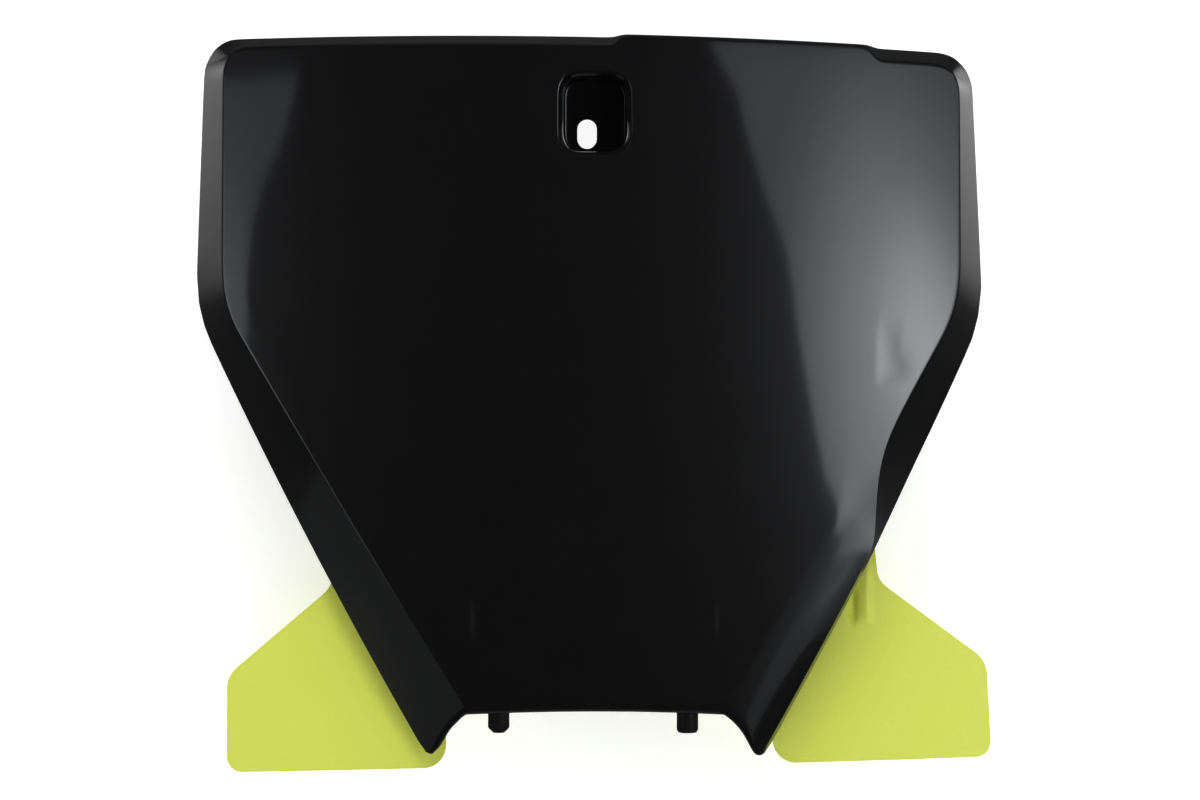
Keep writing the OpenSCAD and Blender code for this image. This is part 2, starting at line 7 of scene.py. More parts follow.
import logging
import math
from dataclasses import dataclass
from enum import Enum
from functools import cached_property
from typing import Callable, Iterable

import bmesh
import bpy
from bmesh.types import BMEdge, BMesh, BMVert
from mathutils import Matrix, Vector


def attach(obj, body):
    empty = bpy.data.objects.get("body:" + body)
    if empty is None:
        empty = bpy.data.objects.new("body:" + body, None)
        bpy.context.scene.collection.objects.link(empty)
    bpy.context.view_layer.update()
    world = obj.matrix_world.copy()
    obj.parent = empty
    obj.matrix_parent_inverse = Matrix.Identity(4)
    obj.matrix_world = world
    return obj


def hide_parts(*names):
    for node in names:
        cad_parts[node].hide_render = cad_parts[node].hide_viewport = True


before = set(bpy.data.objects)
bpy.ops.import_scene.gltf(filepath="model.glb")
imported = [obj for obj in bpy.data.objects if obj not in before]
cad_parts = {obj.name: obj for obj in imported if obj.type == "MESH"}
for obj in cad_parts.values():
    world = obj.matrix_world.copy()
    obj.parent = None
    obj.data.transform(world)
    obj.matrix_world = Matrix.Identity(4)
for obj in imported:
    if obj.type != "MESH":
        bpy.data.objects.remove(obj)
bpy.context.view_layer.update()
LOG = logging.getLogger("number_board")
MM = 0.001
SEAT = Vector((2.6, -19.7, 5.5))
"""Place of the drawing's origin in the frame, whose origin is the middle of the mounting slot."""
MOTTLE = (0.3, 0.7)
"""Values between which the mottle mask lies almost everywhere."""
Colour = tuple[float, float, float]
Cell = tuple[int, float]
"""A column of the shell's lattice: its strip between two key lines, from 0 on the left, and its share across it."""


class Side(Enum):
    """The two sides of the board, as someone sees them who looks at the face."""

    LEFT = -1
    RIGHT = 1


class Zone(Enum):
    """Zones of the shell from the back of its top lip down to its bottom edge."""

    LIP = "lip"
    BAND = "band"
    MAIN = "main"
    FOOT = "foot"


def mix(a, b, t: float):
    """Returns the value a share t of the way from a to b, for numbers and vectors."""
    return a + (b - a) * t


def clamped(t: float) -> float:
    """Returns t kept between 0 and 1."""
    return min(1.0, max(0.0, t))


def smooth(t: float) -> float:
    """Returns a soft step from 0 to 1 as t goes from 0 to 1."""
    c = clamped(t)
    return c * c * (3 - 2 * c)


def bell(t: float) -> float:
    """Returns a soft hump that is 1 at t = 0 and fades within about 2 on both sides."""
    return math.exp(-t ** 2)


def softmax(a: float, b: float, k: float) -> float:
    """Returns the larger of a and b, rounded over a width k where they meet."""
    return (a + b + math.sqrt((a - b) ** 2 + k * k)) / 2


def arc_in(r: float, d: float) -> float:
    """Returns how far a quarter round of radius r has turned inwards at distance d past its start."""
    return 0.0 if d <= 0 else r - math.sqrt(max(0.0, r * r - d * d))


def bent(d: float, up: float, down: float, h: float) -> float:
    """Returns the height of two straight runs of slope up and down that meet at d = 0.

    Args:
        d: Distance from the meeting point.
        up: Slope of the run where d is positive.
        down: Slope of the run where d is negative.
        h: Half the length of the bend between them.

    Returns:
        The height at d.
    """
    if abs(d) > h:
        return (up if d > 0 else down) * d
    return (up + down) * d / 2 + (up - down) * (d * d + h * h) / (4 * h)


def bezier(p: list[Vector], t: float) -> Vector:
    """Returns the point at t of the cubic curve with the four control points p."""
    u = 1 - t
    return p[0] * u**3 + p[1] * 3 * t * u * u + p[2] * 3 * t * t * u + p[3] * t**3


def placed(x: float, y: float, z: float) -> Vector:
    """Returns a point of the drawing in the frame's metres."""
    return (Vector((x, y, z)) + SEAT) * MM


@dataclass(frozen=True)
class BoardForm:
    """Sizes of the moulded plate and the surfaces and lines that follow from them, as in the drawing."""

    wall: float = 2.2
    face_r_top: float = 330
    face_r_bottom: float = 420
    face_r_rise: float = 1600
    face_front_z: float = -60
    face_back: float = 0.01
    top_z: float = 25.06
    top_tilt: float = 1.17
    top_crown_r: float = 6200
    bottom_z: float = 192.3
    bottom_arch: float = 1.2
    bottom_half: float = 41.7
    left_rim_x: float = 131.46
    right_rim_x: float = 127.5
    left_rim_lean: float = 3
    right_rim_lean: float = 4
    shoulder_z: float = 64
    left_shoulder_rise: float = 1.9
    shoulder_soft: float = 11
    corner_r: float = 11.6
    rim_belly: float = 1.8
    left_crease_x: float = 121.4
    right_crease_x: float = 118.5
    crease_lead: float = 3
    crease_soft: float = 10
    face_corner_r: float = 8
    flange_depth_top: float = 10.5
    flange_depth_shoulder: float = 13.3
    flange_depth_low: float = 15.5
    left_band: float = 3.2
    right_band: float = 4.2
    band_depth: float = 5
    lip_depth: float = 5
    land_x0: float = 5.8
    land_x1: float = 91.5
    land_rise: float = 0.7
    land_slope: float = 2.9
    land_roll: float = 0.8
    facet_crease_x: float = 90.2
    facet_crease_soft: float = 6
    facet_apex_x: float = 79.7
    facet_apex_z: float = 128.3
    facet_soft: float = 4
    facet_start_z: float = 108
    facet_drop: float = 8
    edge_roll: float = 1.1
    edge_roll_depth: float = 3
    horn_x: float = 53.35
    horn_z: float = 207.4
    horn_r: float = 2.6
    bottom_roll: float = 2.2
    bottom_roll_depth: float = 3
    tip_share: float = 0.2
    foot_rise: float = 0.45
    horn_run: float = 3.4
    horn_knee: float = 3.1
    horn_knee_up: float = 0.44
    fan_start: float = 35
    fan_ease: float = 20
    lip_thin: float = 0.3

    def face_y(self, x: float, z: float) -> float:
        """Returns how far back the face lies at x and z."""
        t = clamped((z + self.bottom_z) / (self.top_z + self.bottom_z))
        across = mix(1 / self.face_r_bottom, 1 / self.face_r_top, t)
        return self.face_back + x * x / 2 * across + (z - self.face_front_z) ** 2 / (2 * self.face_r_rise)

    def edge_z(self, x: float) -> float:
        """Returns the height of the plain top edge."""
        return self.top_z - x * math.tan(math.radians(self.top_tilt)) - x * x / (2 * self.top_crown_r)

    def land(self, x: float) -> float:
        """Returns the share of the raised land that is reached at x."""
        return clamped((x - self.land_x0) / self.land_slope) * clamped((self.land_x1 - x) / self.land_slope)

    def top_edge_z(self, x: float) -> float:
        """Returns the height of the top edge with its raised land."""
        return self.edge_z(x) + self.land_rise * self.land(x)

    def top_crease_z(self, x: float) -> float:
        """Returns the height of the crease below the folded band."""
        band = self.left_band if x < (self.land_x0 + self.land_x1) / 2 else self.right_band
        return self.edge_z(x) - mix(band, self.land_roll - self.land_rise, self.land(x))

    def bottom_edge_z(self, x: float) -> float:
        """Returns the height of the bottom edge between the horns."""
        return -self.bottom_z - self.bottom_arch * (x / self.bottom_half) ** 2

    def rim_at_shoulder(self, side: int) -> float:
        """Returns the distance of a rim's shoulder from the centre line."""
        return self.left_rim_x if side < 0 else self.right_rim_x

    def crease_at_shoulder(self, side: int) -> float:
        """Returns the distance of a crease from the centre line above its shoulder."""
        return self.left_crease_x if side < 0 else self.right_crease_x

    def rim_lean(self, side: int) -> float:
        """Returns how far a rim leans in from its shoulder to the top."""
        return self.left_rim_lean if side < 0 else self.right_rim_lean

    def straight_rim(self, side: int, z: float) -> float:
        """Returns the distance of a rim from the centre line, without its corners."""
        reach = self.rim_at_shoulder(side)
        shoulder = self.shoulder_z - (self.left_shoulder_rise if side < 0 else 0.0)
        slope = (reach - self.horn_x - self.horn_r) / (self.horn_z - self.horn_r / 2 - shoulder)
        u = (z + shoulder) / (shoulder - self.horn_z)
        belly = self.rim_belly * 4 * u * (1 - u) if 0 <= u <= 1 else 0.0
        lean = -self.rim_lean(side) / (self.top_z + shoulder)
        return reach + belly + bent(z + shoulder, lean, slope, self.shoulder_soft)

    def corner_z(self, side: int) -> float:
        """Returns the height of the top edge at a corner of the outline."""
        return self.edge_z(side * (self.rim_at_shoulder(side) - self.rim_lean(side)))

    def rim_x(self, side: int, z: float) -> float:
        """Returns the distance of a rim from the centre line."""
        return (self.straight_rim(side, z) - arc_in(self.corner_r, z - self.corner_z(side) + self.corner_r)
                - arc_in(self.horn_r, self.horn_r - self.horn_z - z))

    def face_corner_z(self, side: int) -> float:
        """Returns the height of the top crease at a corner of the face."""
        return self.top_crease_z(side * self.crease_at_shoulder(side))

    def crease_x(self, side: int, z: float) -> float:
        """Returns the distance of a hard crease from the centre line."""
        reach = self.crease_at_shoulder(side)
        slope = (reach - self.bottom_half) / (self.bottom_z - self.shoulder_z + self.crease_lead)
        x = reach + bent(z + self.shoulder_z - self.crease_lead, 0.0, slope, self.crease_soft)
        x -= arc_in(self.face_corner_r, z - self.face_corner_z(side) + self.face_corner_r)
        if side < 0:
            return x
        return min(softmax(x, self.facet_crease_x, self.facet_crease_soft), self.rim_x(1, z) - self.edge_roll)

    def facet_x(self, z: float) -> float:
        """Returns the place of the soft facet line."""
        up = (self.land_x1 - self.land_slope - self.facet_apex_x) / (self.facet_apex_z + self.top_z)
        down = (self.facet_apex_x - self.bottom_half) / (self.bottom_z - self.facet_apex_z)
        return self.facet_apex_x + bent(z + self.facet_apex_z, up, down, self.facet_soft)

    def flange_depth(self, z: float) -> float:
        """Returns how far the side flange runs back from crease to rim."""
        if z > -self.shoulder_z:
            t = clamped((z + self.shoulder_z) / (self.top_z + self.shoulder_z))
            return mix(self.flange_depth_shoulder, self.flange_depth_top, t)
        return mix(self.flange_depth_shoulder, self.flange_depth_low, clamped(-(z + self.shoulder_z) / self.shoulder_z))

    def facet_fall(self, z: float) -> float:
        """Returns how far the lower right facet has fallen back at its free edge."""
        return self.facet_drop * smooth(-(z + self.facet_start_z) / (self.horn_z - self.facet_start_z))

    def right_rim_depth(self, z: float) -> float:
        """Returns how far the right rim lies behind its crease."""
        t = smooth(-(z + self.facet_start_z) / (2 * (self.facet_apex_z - self.facet_start_z)))
        return mix(self.flange_depth(z), self.edge_roll_depth, t)

    @cached_property
    def arc_mid(self) -> float:
        """Returns the share of a corner's radius between the corner and the middle of its arc."""
        return 1 - math.sqrt(0.5)

    @cached_property
    def line_top(self) -> list[float]:
        """Returns the levels of the five key lines at the top crease."""
        return [
            self.corner_z(-1) - self.corner_r * self.arc_mid - self.left_band - 2,
            self.face_corner_z(-1) - self.face_corner_r * self.arc_mid,
            self.top_crease_z(self.land_x1 - self.land_slope),
            self.face_corner_z(1) - self.face_corner_r * self.arc_mid,
            self.corner_z(1) - self.corner_r * self.arc_mid - self.right_band - 2,
        ]

    @cached_property
    def line_foot(self) -> list[float]:
        """Returns the levels of the five key lines at the bottom crease."""
        foot = self.bottom_edge_z(self.bottom_half) + self.bottom_roll
        rim_foot = -self.horn_z + self.horn_r * self.foot_rise
        return [rim_foot, foot, foot, -self.horn_z + self.horn_r * 0.75, rim_foot]

    def line_x(self, k: int, z: float) -> float:
        """Returns the place of key line k at height z."""
        lines: list[Callable[[float], float]] = [
            lambda h: -self.rim_x(-1, h), lambda h: -self.crease_x(-1, h), self.facet_x,
            lambda h: self.crease_x(1, h), lambda h: self.rim_x(1, h)]
        return lines[k](z)

    def line_y(self, k: int, z: float) -> float:
        """Returns how far back key line k lies at height z."""
        if k == 0:
            return self.face_y(self.line_x(1, z), z) + self.flange_depth(z)
        if k == 4:
            return self.face_y(self.line_x(3, z), z) + self.facet_fall(z) + self.right_rim_depth(z)
        return self.face_y(self.line_x(k, z), z) + (self.facet_fall(z) if k == 3 else 0.0)

    def line_level(self, k: int, v: float) -> float:
        """Returns the height of key line k at share v from top to bottom."""
        return mix(self.line_top[k], self.line_foot[k], v)

    def horn_tip(self, side: int, u: float, grow: float) -> Vector:
        """Returns a point of a horn's rounded tip as (x, z), from its rim at u = 0 to its lowest point at u = 1."""
        z = -self.horn_z + self.horn_r * mix(0.25, self.foot_rise, grow)
        g = grow * self.bottom_roll
        low = Vector((side * (self.horn_x + 0.1 * g), -self.horn_z + 0.6 * g))
        end = Vector((side * mix(self.horn_x + 0.66 * self.horn_r, self.rim_x(side, z), grow), z))
        turn = Vector((mix(low.x, end.x, 0.58), low.y))
        return end * (1 - u) ** 2 + turn * 2 * u * (1 - u) + low * u * u

    def horn_side(self, side: int, t: float, grow: float) -> Vector:
        """Returns a point of a horn as (x, z), from its rim at t = 0 round its tip to the bottom edge."""
        if t < self.tip_share:
            return self.horn_tip(side, t / self.tip_share, grow)
        b = self.bottom_edge_z(self.bottom_half)
        g = grow * self.bottom_roll
        return bezier([
            Vector((side * (self.horn_x + 0.1 * g), -self.horn_z + 0.6 * g)),
            Vector((side * (self.horn_x - self.horn_run + 0.5 * g), -self.horn_z + 0.7 * g)),
            Vector((side * (self.horn_x - self.horn_knee + 0.6 * g),
                    mix(b, -self.horn_z, self.horn_knee_up) + 0.3 * g)),
            Vector((side * self.bottom_half, b + g)),
        ], (t - self.tip_share) / (1 - self.tip_share))

    def foot_point(self, k: int, s: float, grow: float) -> Vector:
        """Returns a point of the bottom crease or edge as (x, z) in strip k at share s."""
        if k == 0:
            return self.horn_side(-1, s, grow)
        if k == 1:
            x = mix(-self.bottom_half, self.bottom_half, s)
            return Vector((x, self.bottom_edge_z(x) + grow * self.bottom_roll))
        return self.horn_side(1, 1 - s * 0.9 if k == 2 else 0.1 * (1 - s), grow)

    def crease_point(self, k: int, s: float) -> Vector:
        """Returns a point of the top crease as (x, z) in strip k at share s."""
        z = mix(self.line_top[k], self.line_top[k + 1], s)
        x = mix(self.line_x(k, self.line_top[k]), self.line_x(k + 1, self.line_top[k + 1]), s)
        if k in (0, 3):
            return Vector((x, z))
        side = -1 if x < 0 else 1
        drop = arc_in(self.face_corner_r, side * x - self.crease_at_shoulder(side) + self.face_corner_r)
        return Vector((x, self.top_crease_z(x) - drop))

    def main_point(self, k: int, s: float, v: float) -> Vector:
        """Returns a point between the top and bottom creases in strip k at shares s across and v down."""
        za, zb = self.line_level(k, v), self.line_level(k + 1, v)
        top = [Vector((self.line_x(n, self.line_top[n]), self.line_top[n])) for n in (k, k + 1)]
        foot = [Vector((self.line_x(n, self.line_foot[n]), self.line_foot[n])) for n in (k, k + 1)]
        top_pull = self.crease_point(k, s) - mix(top[0], top[1], s)
        foot_pull = self.foot_point(k, s, 1) - mix(foot[0], foot[1], s)
        p = mix(Vector((self.line_x(k, za), za)), Vector((self.line_x(k + 1, zb), zb)), s)
        p = p + top_pull * (1 - v) ** 6 + foot_pull * v**6
        if k == 1:
            y = self.face_y(p.x, p.y)
        elif k == 2:
            y = self.face_y(p.x, p.y) + self.facet_fall(p.y) * s
        elif k == 0:
            a, b = self.line_x(0, p.y), self.line_x(1, p.y)
            y = mix(mix(self.line_y(0, za), self.line_y(1, zb), s),
                    mix(self.line_y(0, p.y), self.line_y(1, p.y), clamped((p.x - a) / (b - a))), smooth(4 * v - 3))
        else:
            y = mix(self.line_y(k, za), self.line_y(k + 1, zb), s)
        return Vector((p.x, y, p.y))

    def corner_arc(self, k: int, turn: float) -> Vector:
        """Returns a point of the outer edge round a top corner, from the rim at turn 0 to the top edge at turn 1."""
        side, n, m = (-1, 0, 1) if k == 0 else (1, 4, 3)
        r, high = self.corner_r, self.corner_z(side)
        arc_x = self.rim_at_shoulder(side) - self.rim_lean(side) - r
        start = math.asin((self.line_top[n] - high + r) / r)
        end = math.acos((side * self.line_x(m, self.line_top[m]) - arc_x) / r)
        angle = mix(start, end, turn)
        share = smooth((math.degrees(angle) - self.fan_start) / self.fan_ease)
        x = arc_x + r * math.cos(angle)
        z = mix(high, self.edge_z(side * x), share) - r * (1 - math.sin(angle))
        x = mix(self.rim_x(side, z), x, share)
        crease = self.line_y(m, self.line_top[m])
        return Vector((side * x, mix(self.line_y(n, self.line_top[n]), crease + self.band_depth, smooth(turn)), z))

    def corner_point(self, k: int, s: float, up: float) -> Vector:
        """Returns a point of the flange that fans round a top corner, up of 0 beside the crease and 1 on the edge."""
        out = 1 - s if k == 0 else s
        if out == up == 0.0:
            return self.main_point(k, s, 0)
        turn = 0.5 * up / out if out >= up else 1 - 0.5 * out / up
        return mix(self.main_point(k, 1.0 if k == 0 else 0.0, 0), self.corner_arc(k, turn), max(out, up))

    def top_point(self, k: int, s: float, back: float) -> Vector:
        """Returns a point of the top lip, back of 0 on its edge and 1 at its rear."""
        if k in (0, 3):
            out = 1 - s if k == 0 else s
            depth = self.lip_depth * mix(1.0, self.lip_thin, smooth(out))
            return self.corner_point(k, s, 1.0) + Vector((0, back * depth, 0))
        c = self.main_point(k, s, 0)
        side = -1 if c.x < 0 else 1
        drop = arc_in(self.corner_r, side * c.x - self.rim_at_shoulder(side) + self.rim_lean(side) + self.corner_r)
        y = c.y + mix(self.band_depth, self.land_roll, self.land(c.x))
        y += back * (self.lip_depth + (self.band_depth - self.land_roll) * self.land(c.x))
        return Vector((c.x, y, self.top_edge_z(c.x) - drop))

    def edge_point(self, k: int, s: float) -> Vector:
        """Returns a point of the bottom edge in strip k at share s."""
        p, c = self.foot_point(k, s, 0), self.main_point(k, s, 1)
        t = {0: 1 - s, 2: s}.get(k, 1.0)
        depth = self.bottom_roll_depth if k == 1 else mix(self.bottom_roll_depth, 1.0, t)
        return Vector((p.x, c.y + depth, p.y))

    def band_point(self, k: int, s: float, t: float) -> Vector:
        """Returns a point of the folded band, t of 0 on the lip's edge and 1 on the crease below it."""
        if k in (0, 3):
            return self.corner_point(k, s, 1 - t)
        return mix(self.top_point(k, s, 0), self.main_point(k, s, 0), t)


@dataclass(frozen=True)
class PressMark:
    """Shallow wedge-shaped mark in the right of the face, deepest at the foot of its left side."""

    depth_top: float = 0.03
    depth_foot: float = 0.25
    left_top: float = 91.6
    left_foot: float = 90.9
    right: float = 102.8
    high: float = -66.0
    low: float = -91.0
    wall_top: float = 1.0
    wall_foot: float = 7.0
    high_ease: float = 3.0
    low_left: float = -86.2
    low_slope: float = 0.1
    low_ease: float = 3.2
    ridge: float = 0.5
    ridge_x: float = 99.0
    ridge_w: float = 1.1
    ridge_low: float = -79.0
    ridge_ease: float = 6.0

    def sink(self, x: float, z: float) -> float:
        """Returns how far the mark sets the face back at x and z."""
        if not (self.low < z < self.high and self.left_foot < x < self.right):
            return 0.0
        t = min(1.0, (self.high - z) / (self.high - self.low_left))
        start = mix(self.left_top, self.left_foot, t)
        wall = mix(self.wall_top, self.wall_foot, t)
        low = self.low_left - self.low_slope * (x - self.left_foot)
        window = smooth((self.high - z) / self.high_ease) * smooth((z - low) / self.low_ease)
        rise = 1 - (1 - clamped((x - start) / wall)) ** 2
        fall = smooth((self.right - x) / (self.right - start - wall))
        ridge = self.ridge * bell((x - self.ridge_x) / self.ridge_w) * smooth((z - self.ridge_low) / self.ridge_ease)
        return mix(self.depth_top, self.depth_foot, t) * window * max(0.0, min(rise, fall) - ridge)


@dataclass(frozen=True)
class Pocket:
    """Mounting pocket with its flared mouth, its floor and the slot through it."""

    width: float = 20.5
    height: float = 24.1
    corner_r: float = 5
    flare: float = 1.6
    seat_depth: float = 19.7
    slot_w: float = 6.3
    slot_h: float = 9.6
    slot_left: float = 2.6
    slot_down: float = 5.5
    floor_round: float = 0.7

    @staticmethod
    def ring_point(u: float, w: float, half_w: float, half_h: float, r: float) -> Vector:
        """Returns the point of a rounded rectangle that a point of the square's edge goes to.

        Args:
            u: Place across, from -1 to 1.
            w: Place up, from -1 to 1; u or w is at its limit.
            half_w: Half the rectangle's width.
            half_h: Half its height.
            r: Radius of its corners.

        Returns:
            The point as (x, z) from the rectangle's middle.
        """
        sx, sz = (1 if u >= 0 else -1), (1 if w >= 0 else -1)
        if abs(u) >= abs(w):
            over = max(0.0, abs(w) * half_h - (half_h - r)) / r
            angle = math.radians(45) * over
        else:
            over = max(0.0, abs(u) * half_w - (half_w - r)) / r
            angle = math.radians(90 - 45 * over)
        x = half_w - r + r * math.cos(angle)
        z = half_h - r + r * math.sin(angle)
        if over == 0.0:
            x, z = (half_w, abs(w) * half_h) if abs(u) >= abs(w) else (abs(u) * half_w, half_h)
        return Vector((sx * x, sz * z))


@dataclass(frozen=True)
class Bosses:
    """Sizes and places of the four screw bosses that carry the wings."""

    x: float = 39.5
    upper_z: float = 161.5
    pitch: float = 20
    d: float = 6.4
    pilot_d: float = 2.9
    pilot_depth: float = 9
    back: float = 28

    def spots(self) -> list[tuple[float, float]]:
        """Returns the bosses' places as (x, z)."""
        return [(side.value * self.x, -self.upper_z - n * self.pitch) for side in Side for n in (0, 1)]


def linked(name: str, data: bpy.types.ID) -> bpy.types.Object:
    """Returns a new object with its data, linked to the scene."""
    obj = bpy.data.objects.new(name, data)
    bpy.context.scene.collection.objects.link(obj)
    return obj


def meshed(name: str, bm: BMesh) -> bpy.types.Mesh:
    """Returns a bmesh as a mesh, and frees it."""
    mesh = bpy.data.meshes.new(name)
    bm.to_mesh(mesh)
    bm.free()
    return mesh


def new_object(name: str, bm: BMesh) -> bpy.types.Object:
    """Makes a smooth-shaded object of a bmesh given in the drawing's millimetres.

    Args:
        name: The piece's name.
        bm: Its mesh; it is freed here.

    Returns:
        The object, linked to the scene.
    """
    for v in bm.verts:
        v.co = placed(*v.co)
    for f in bm.faces:
        f.smooth = True
    return linked(name, meshed(name, bm))


def smoothed(obj: bpy.types.Object, levels: int) -> None:
    """Adds subdivision to a piece, the same in the view and in the render."""
    mod = obj.modifiers.new("smooth", "SUBSURF")
    mod.levels = mod.render_levels = levels
    mod.boundary_smooth = "PRESERVE_CORNERS"


def thickened(obj: bpy.types.Object, wall: float, rim_crease: float, group: str = "") -> None:
    """Gives a sheet its wall, inwards from its outer side.

    Args:
        obj: The sheet.
        wall: The wall in millimetres.
        rim_crease: How sharp the free edges stay when the sheet is smoothed.
        group: Vertex group that scales the wall, or an empty name.
    """
    mod = obj.modifiers.new("wall", "SOLIDIFY")
    mod.thickness = wall * MM
    mod.offset = -1
    mod.use_even_offset = True
    mod.use_quality_normals = True
    mod.edge_crease_rim = mod.edge_crease_outer = mod.edge_crease_inner = rim_crease
    if group:
        mod.vertex_group = group


def outward(bm: BMesh, front: Vector) -> None:
    """Turns a sheet's faces so that they all look along front on average."""
    bmesh.ops.recalc_face_normals(bm, faces=bm.faces)
    total = sum((f.normal * f.calc_area() for f in bm.faces), Vector())
    if total.dot(front) < 0:
        bmesh.ops.reverse_faces(bm, faces=bm.faces)


def extruded_ring(bm: BMesh, edges: list[BMEdge], tags: dict[BMVert, tuple[float, float]],
                  place: Callable[[float, float], Vector]) -> list[BMEdge]:
    """Extrudes a closed loop of edges once and puts each new vertex where its tag says.

    Args:
        bm: The mesh.
        edges: The loop.
        tags: Two numbers for each vertex of the loop; the new vertices get the same ones.
        place: Turns a tag into a point of the drawing.

    Returns:
        The new loop of edges.
    """
    made = bmesh.ops.extrude_edge_only(bm, edges=edges)["geom"]
    fresh = {g for g in made if isinstance(g, BMVert)}
    for v in fresh:
        old = next(e.other_vert(v) for e in v.link_edges if e.other_vert(v) not in fresh)
        tags[v] = tags[old]
    for v in fresh:
        v.co = place(*tags[v])
    return [g for g in made if isinstance(g, BMEdge) and all(v in fresh for v in g.verts)]


@dataclass
class FaceShell:
    """The moulded shell: face, flanges, folded top lip, horns and the mounting pocket, in one sheet with a wall."""

    form: BoardForm
    pocket: Pocket
    mark: PressMark
    left_cells: int = 5
    block_half: float = 17.5
    levels: int = 2
    rim_crease: float = 0.75
    support: float = 0.7
    foot_bulge: float = 0.35
    horn_wall: float = 0.35

    def columns(self) -> list[Cell]:
        """Returns the lattice's columns, from the left rim to the right one."""
        form, block = self.form, self.block_half
        a, b, c = (form.line_x(k, form.line_top[k]) for k in (1, 2, 3))
        xs = [a, a + self.support, a + 2.4, a + 5.4]
        xs += [mix(a + 10, -27.0, i / self.left_cells) for i in range(self.left_cells + 1)]
        xs += [-block, -13.0, -8.6, -4.2, 0.4, form.land_x0 - 0.5, form.land_x0 + 0.9,
               form.land_x0 + form.land_slope + 0.2, 13.0, block, 27, 40, 54, 68, 78, 84.5]
        strips = (
            (0.0, 0.05, 0.12, 0.22, 0.5, 0.78, 0.95),
            tuple((x - a) / (b - a) for x in xs),
            (0.0, form.land_slope / (c - b), 0.19, 0.25, 0.295, 0.34, 0.385, 0.43, 0.5, 0.56, 0.61, 0.68, 0.78,
             0.88, 0.975),
            (0.0, 0.05, 0.22, 0.5, 0.78, 0.95, 1.0))
        return [(k, share) for k, shares in enumerate(strips) for share in shares]

    def rows(self) -> list[tuple[Zone, float]]:
        """Returns the lattice's rows as (zone, share down it), from the rear of the top lip to the bottom edge."""
        top, foot = self.form.line_top[1], self.form.line_foot[1]
        levels = [17.0, 12.8, 8.5, 4.2, 0.0, -4.2, -8.5, -12.8, -17.5, -25, -34, -44, -53, -60, -65.5, -69, -72.5,
                  -76, -79.5, -82.5, -85, -87.5, -91.5, -98, -106, -114, -121, -127, -133, -141, -150, -159, -168, -177,
                  -184, -188.5]
        main = [0.0, 0.0035, *((top - z) / (top - foot) for z in levels), 1.0]
        zones = ((Zone.LIP, (1.0, 0.5, 0.12)), (Zone.BAND, (0.0, 0.14, 0.5, 0.86)), (Zone.MAIN, main),
                 (Zone.FOOT, (0.5, 1.0)))
        return [(zone, share) for zone, shares in zones for share in shares]

    def lattice_point(self, row: tuple[Zone, float], column: Cell) -> Vector:
        """Returns the point of the shell's outer side where a row and a column meet."""
        (zone, t), (k, s) = row, column
        if zone is Zone.LIP:
            return self.form.top_point(k, s, t)
        if zone is Zone.BAND:
            return self.form.band_point(k, s, t)
        if zone is Zone.FOOT:
            bulge = Vector((0, -self.foot_bulge, -self.foot_bulge)) * 4 * t * (1 - t)
            return mix(self.form.main_point(k, s, 1), self.form.edge_point(k, s), t) + bulge
        p = self.form.main_point(k, s, t)
        return p + Vector((0, self.mark.sink(p.x, p.z), 0))

    def cut_pocket(self, bm: BMesh, spots: dict[BMVert, tuple[int, int]]) -> None:
        """Opens a block of the lattice and runs the pocket's walls and floor in from its edge."""
        form, pocket = self.form, self.pocket
        block = self.block_half
        inside = {v for v in spots if abs(v.co.x) < block + 1.2 and abs(v.co.z) < block + 0.9 and v.co.y < 3}
        cols = sorted({spots[v][0] for v in inside})
        rows = sorted({spots[v][1] for v in inside})
        box = {v for v in spots if cols[0] <= spots[v][0] <= cols[-1] and rows[0] <= spots[v][1] <= rows[-1]}
        faces = [f for f in bm.faces if all(v in box for v in f.verts)]
        bmesh.ops.delete(bm, geom=faces, context="FACES")
        loop = [e for e in bm.edges if e.is_boundary and all(v in box for v in e.verts)]
        tags: dict[BMVert, tuple[float, float]] = {}
        for v in {v for e in loop for v in e.verts}:
            i, j = spots[v]
            u = -1.0 if i == cols[0] else 1.0 if i == cols[-1] else clamped((v.co.x + block) / (2 * block)) * 2 - 1
            w = 1.0 if j == rows[0] else -1.0 if j == rows[-1] else clamped((v.co.z + block) / (2 * block)) * 2 - 1
            tags[v] = (u, w)
        half_w, half_h, r = pocket.width / 2, pocket.height / 2, pocket.corner_r

        def at(grow: float, y: float | None, over: float = 0.0) -> Callable[[float, float], Vector]:
            """Returns the placing of a ring that stands grow outside the pocket, at depth y or over behind the face."""
            def place(u: float, w: float) -> Vector:
                """Returns the ring's point for a tag."""
                p = pocket.ring_point(u, w, half_w + grow, half_h + grow, max(0.6, r + grow))
                return Vector((p.x, form.face_y(p.x, p.y) + over if y is None else y, p.y))
            return place

        floor_y, flare, soft = pocket.seat_depth - form.wall, pocket.flare, pocket.floor_round
        mouth = ((flare + 2.2, 0.0), (flare + 0.5, 0.0), (flare, 0.08), (flare - 0.35, 0.42), (0.25, flare + 1.2),
                 (0.0, flare + 1.9))
        well = ((-0.1, 8.0), (-0.2, floor_y - soft - 1.5), (-0.25, floor_y - soft),
                (-0.25 - 0.3 * soft, floor_y - 0.3 * soft), (-0.25 - soft, floor_y))
        for place in [at(grow, None, over) for grow, over in mouth] + [at(grow, y) for grow, y in well]:
            loop = extruded_ring(bm, loop, tags, place)

        def on_slot(grow: float) -> Callable[[float, float], Vector]:
            """Returns the placing of a ring that stands grow outside the slot."""
            def place(u: float, w: float) -> Vector:
                """Returns the ring's point for a tag."""
                side = pocket.slot_w / 2 + grow
                p = pocket.ring_point(u, w, side, pocket.slot_h / 2 + grow, side)
                return Vector((p.x - pocket.slot_left, floor_y, p.y - pocket.slot_down))
            return place

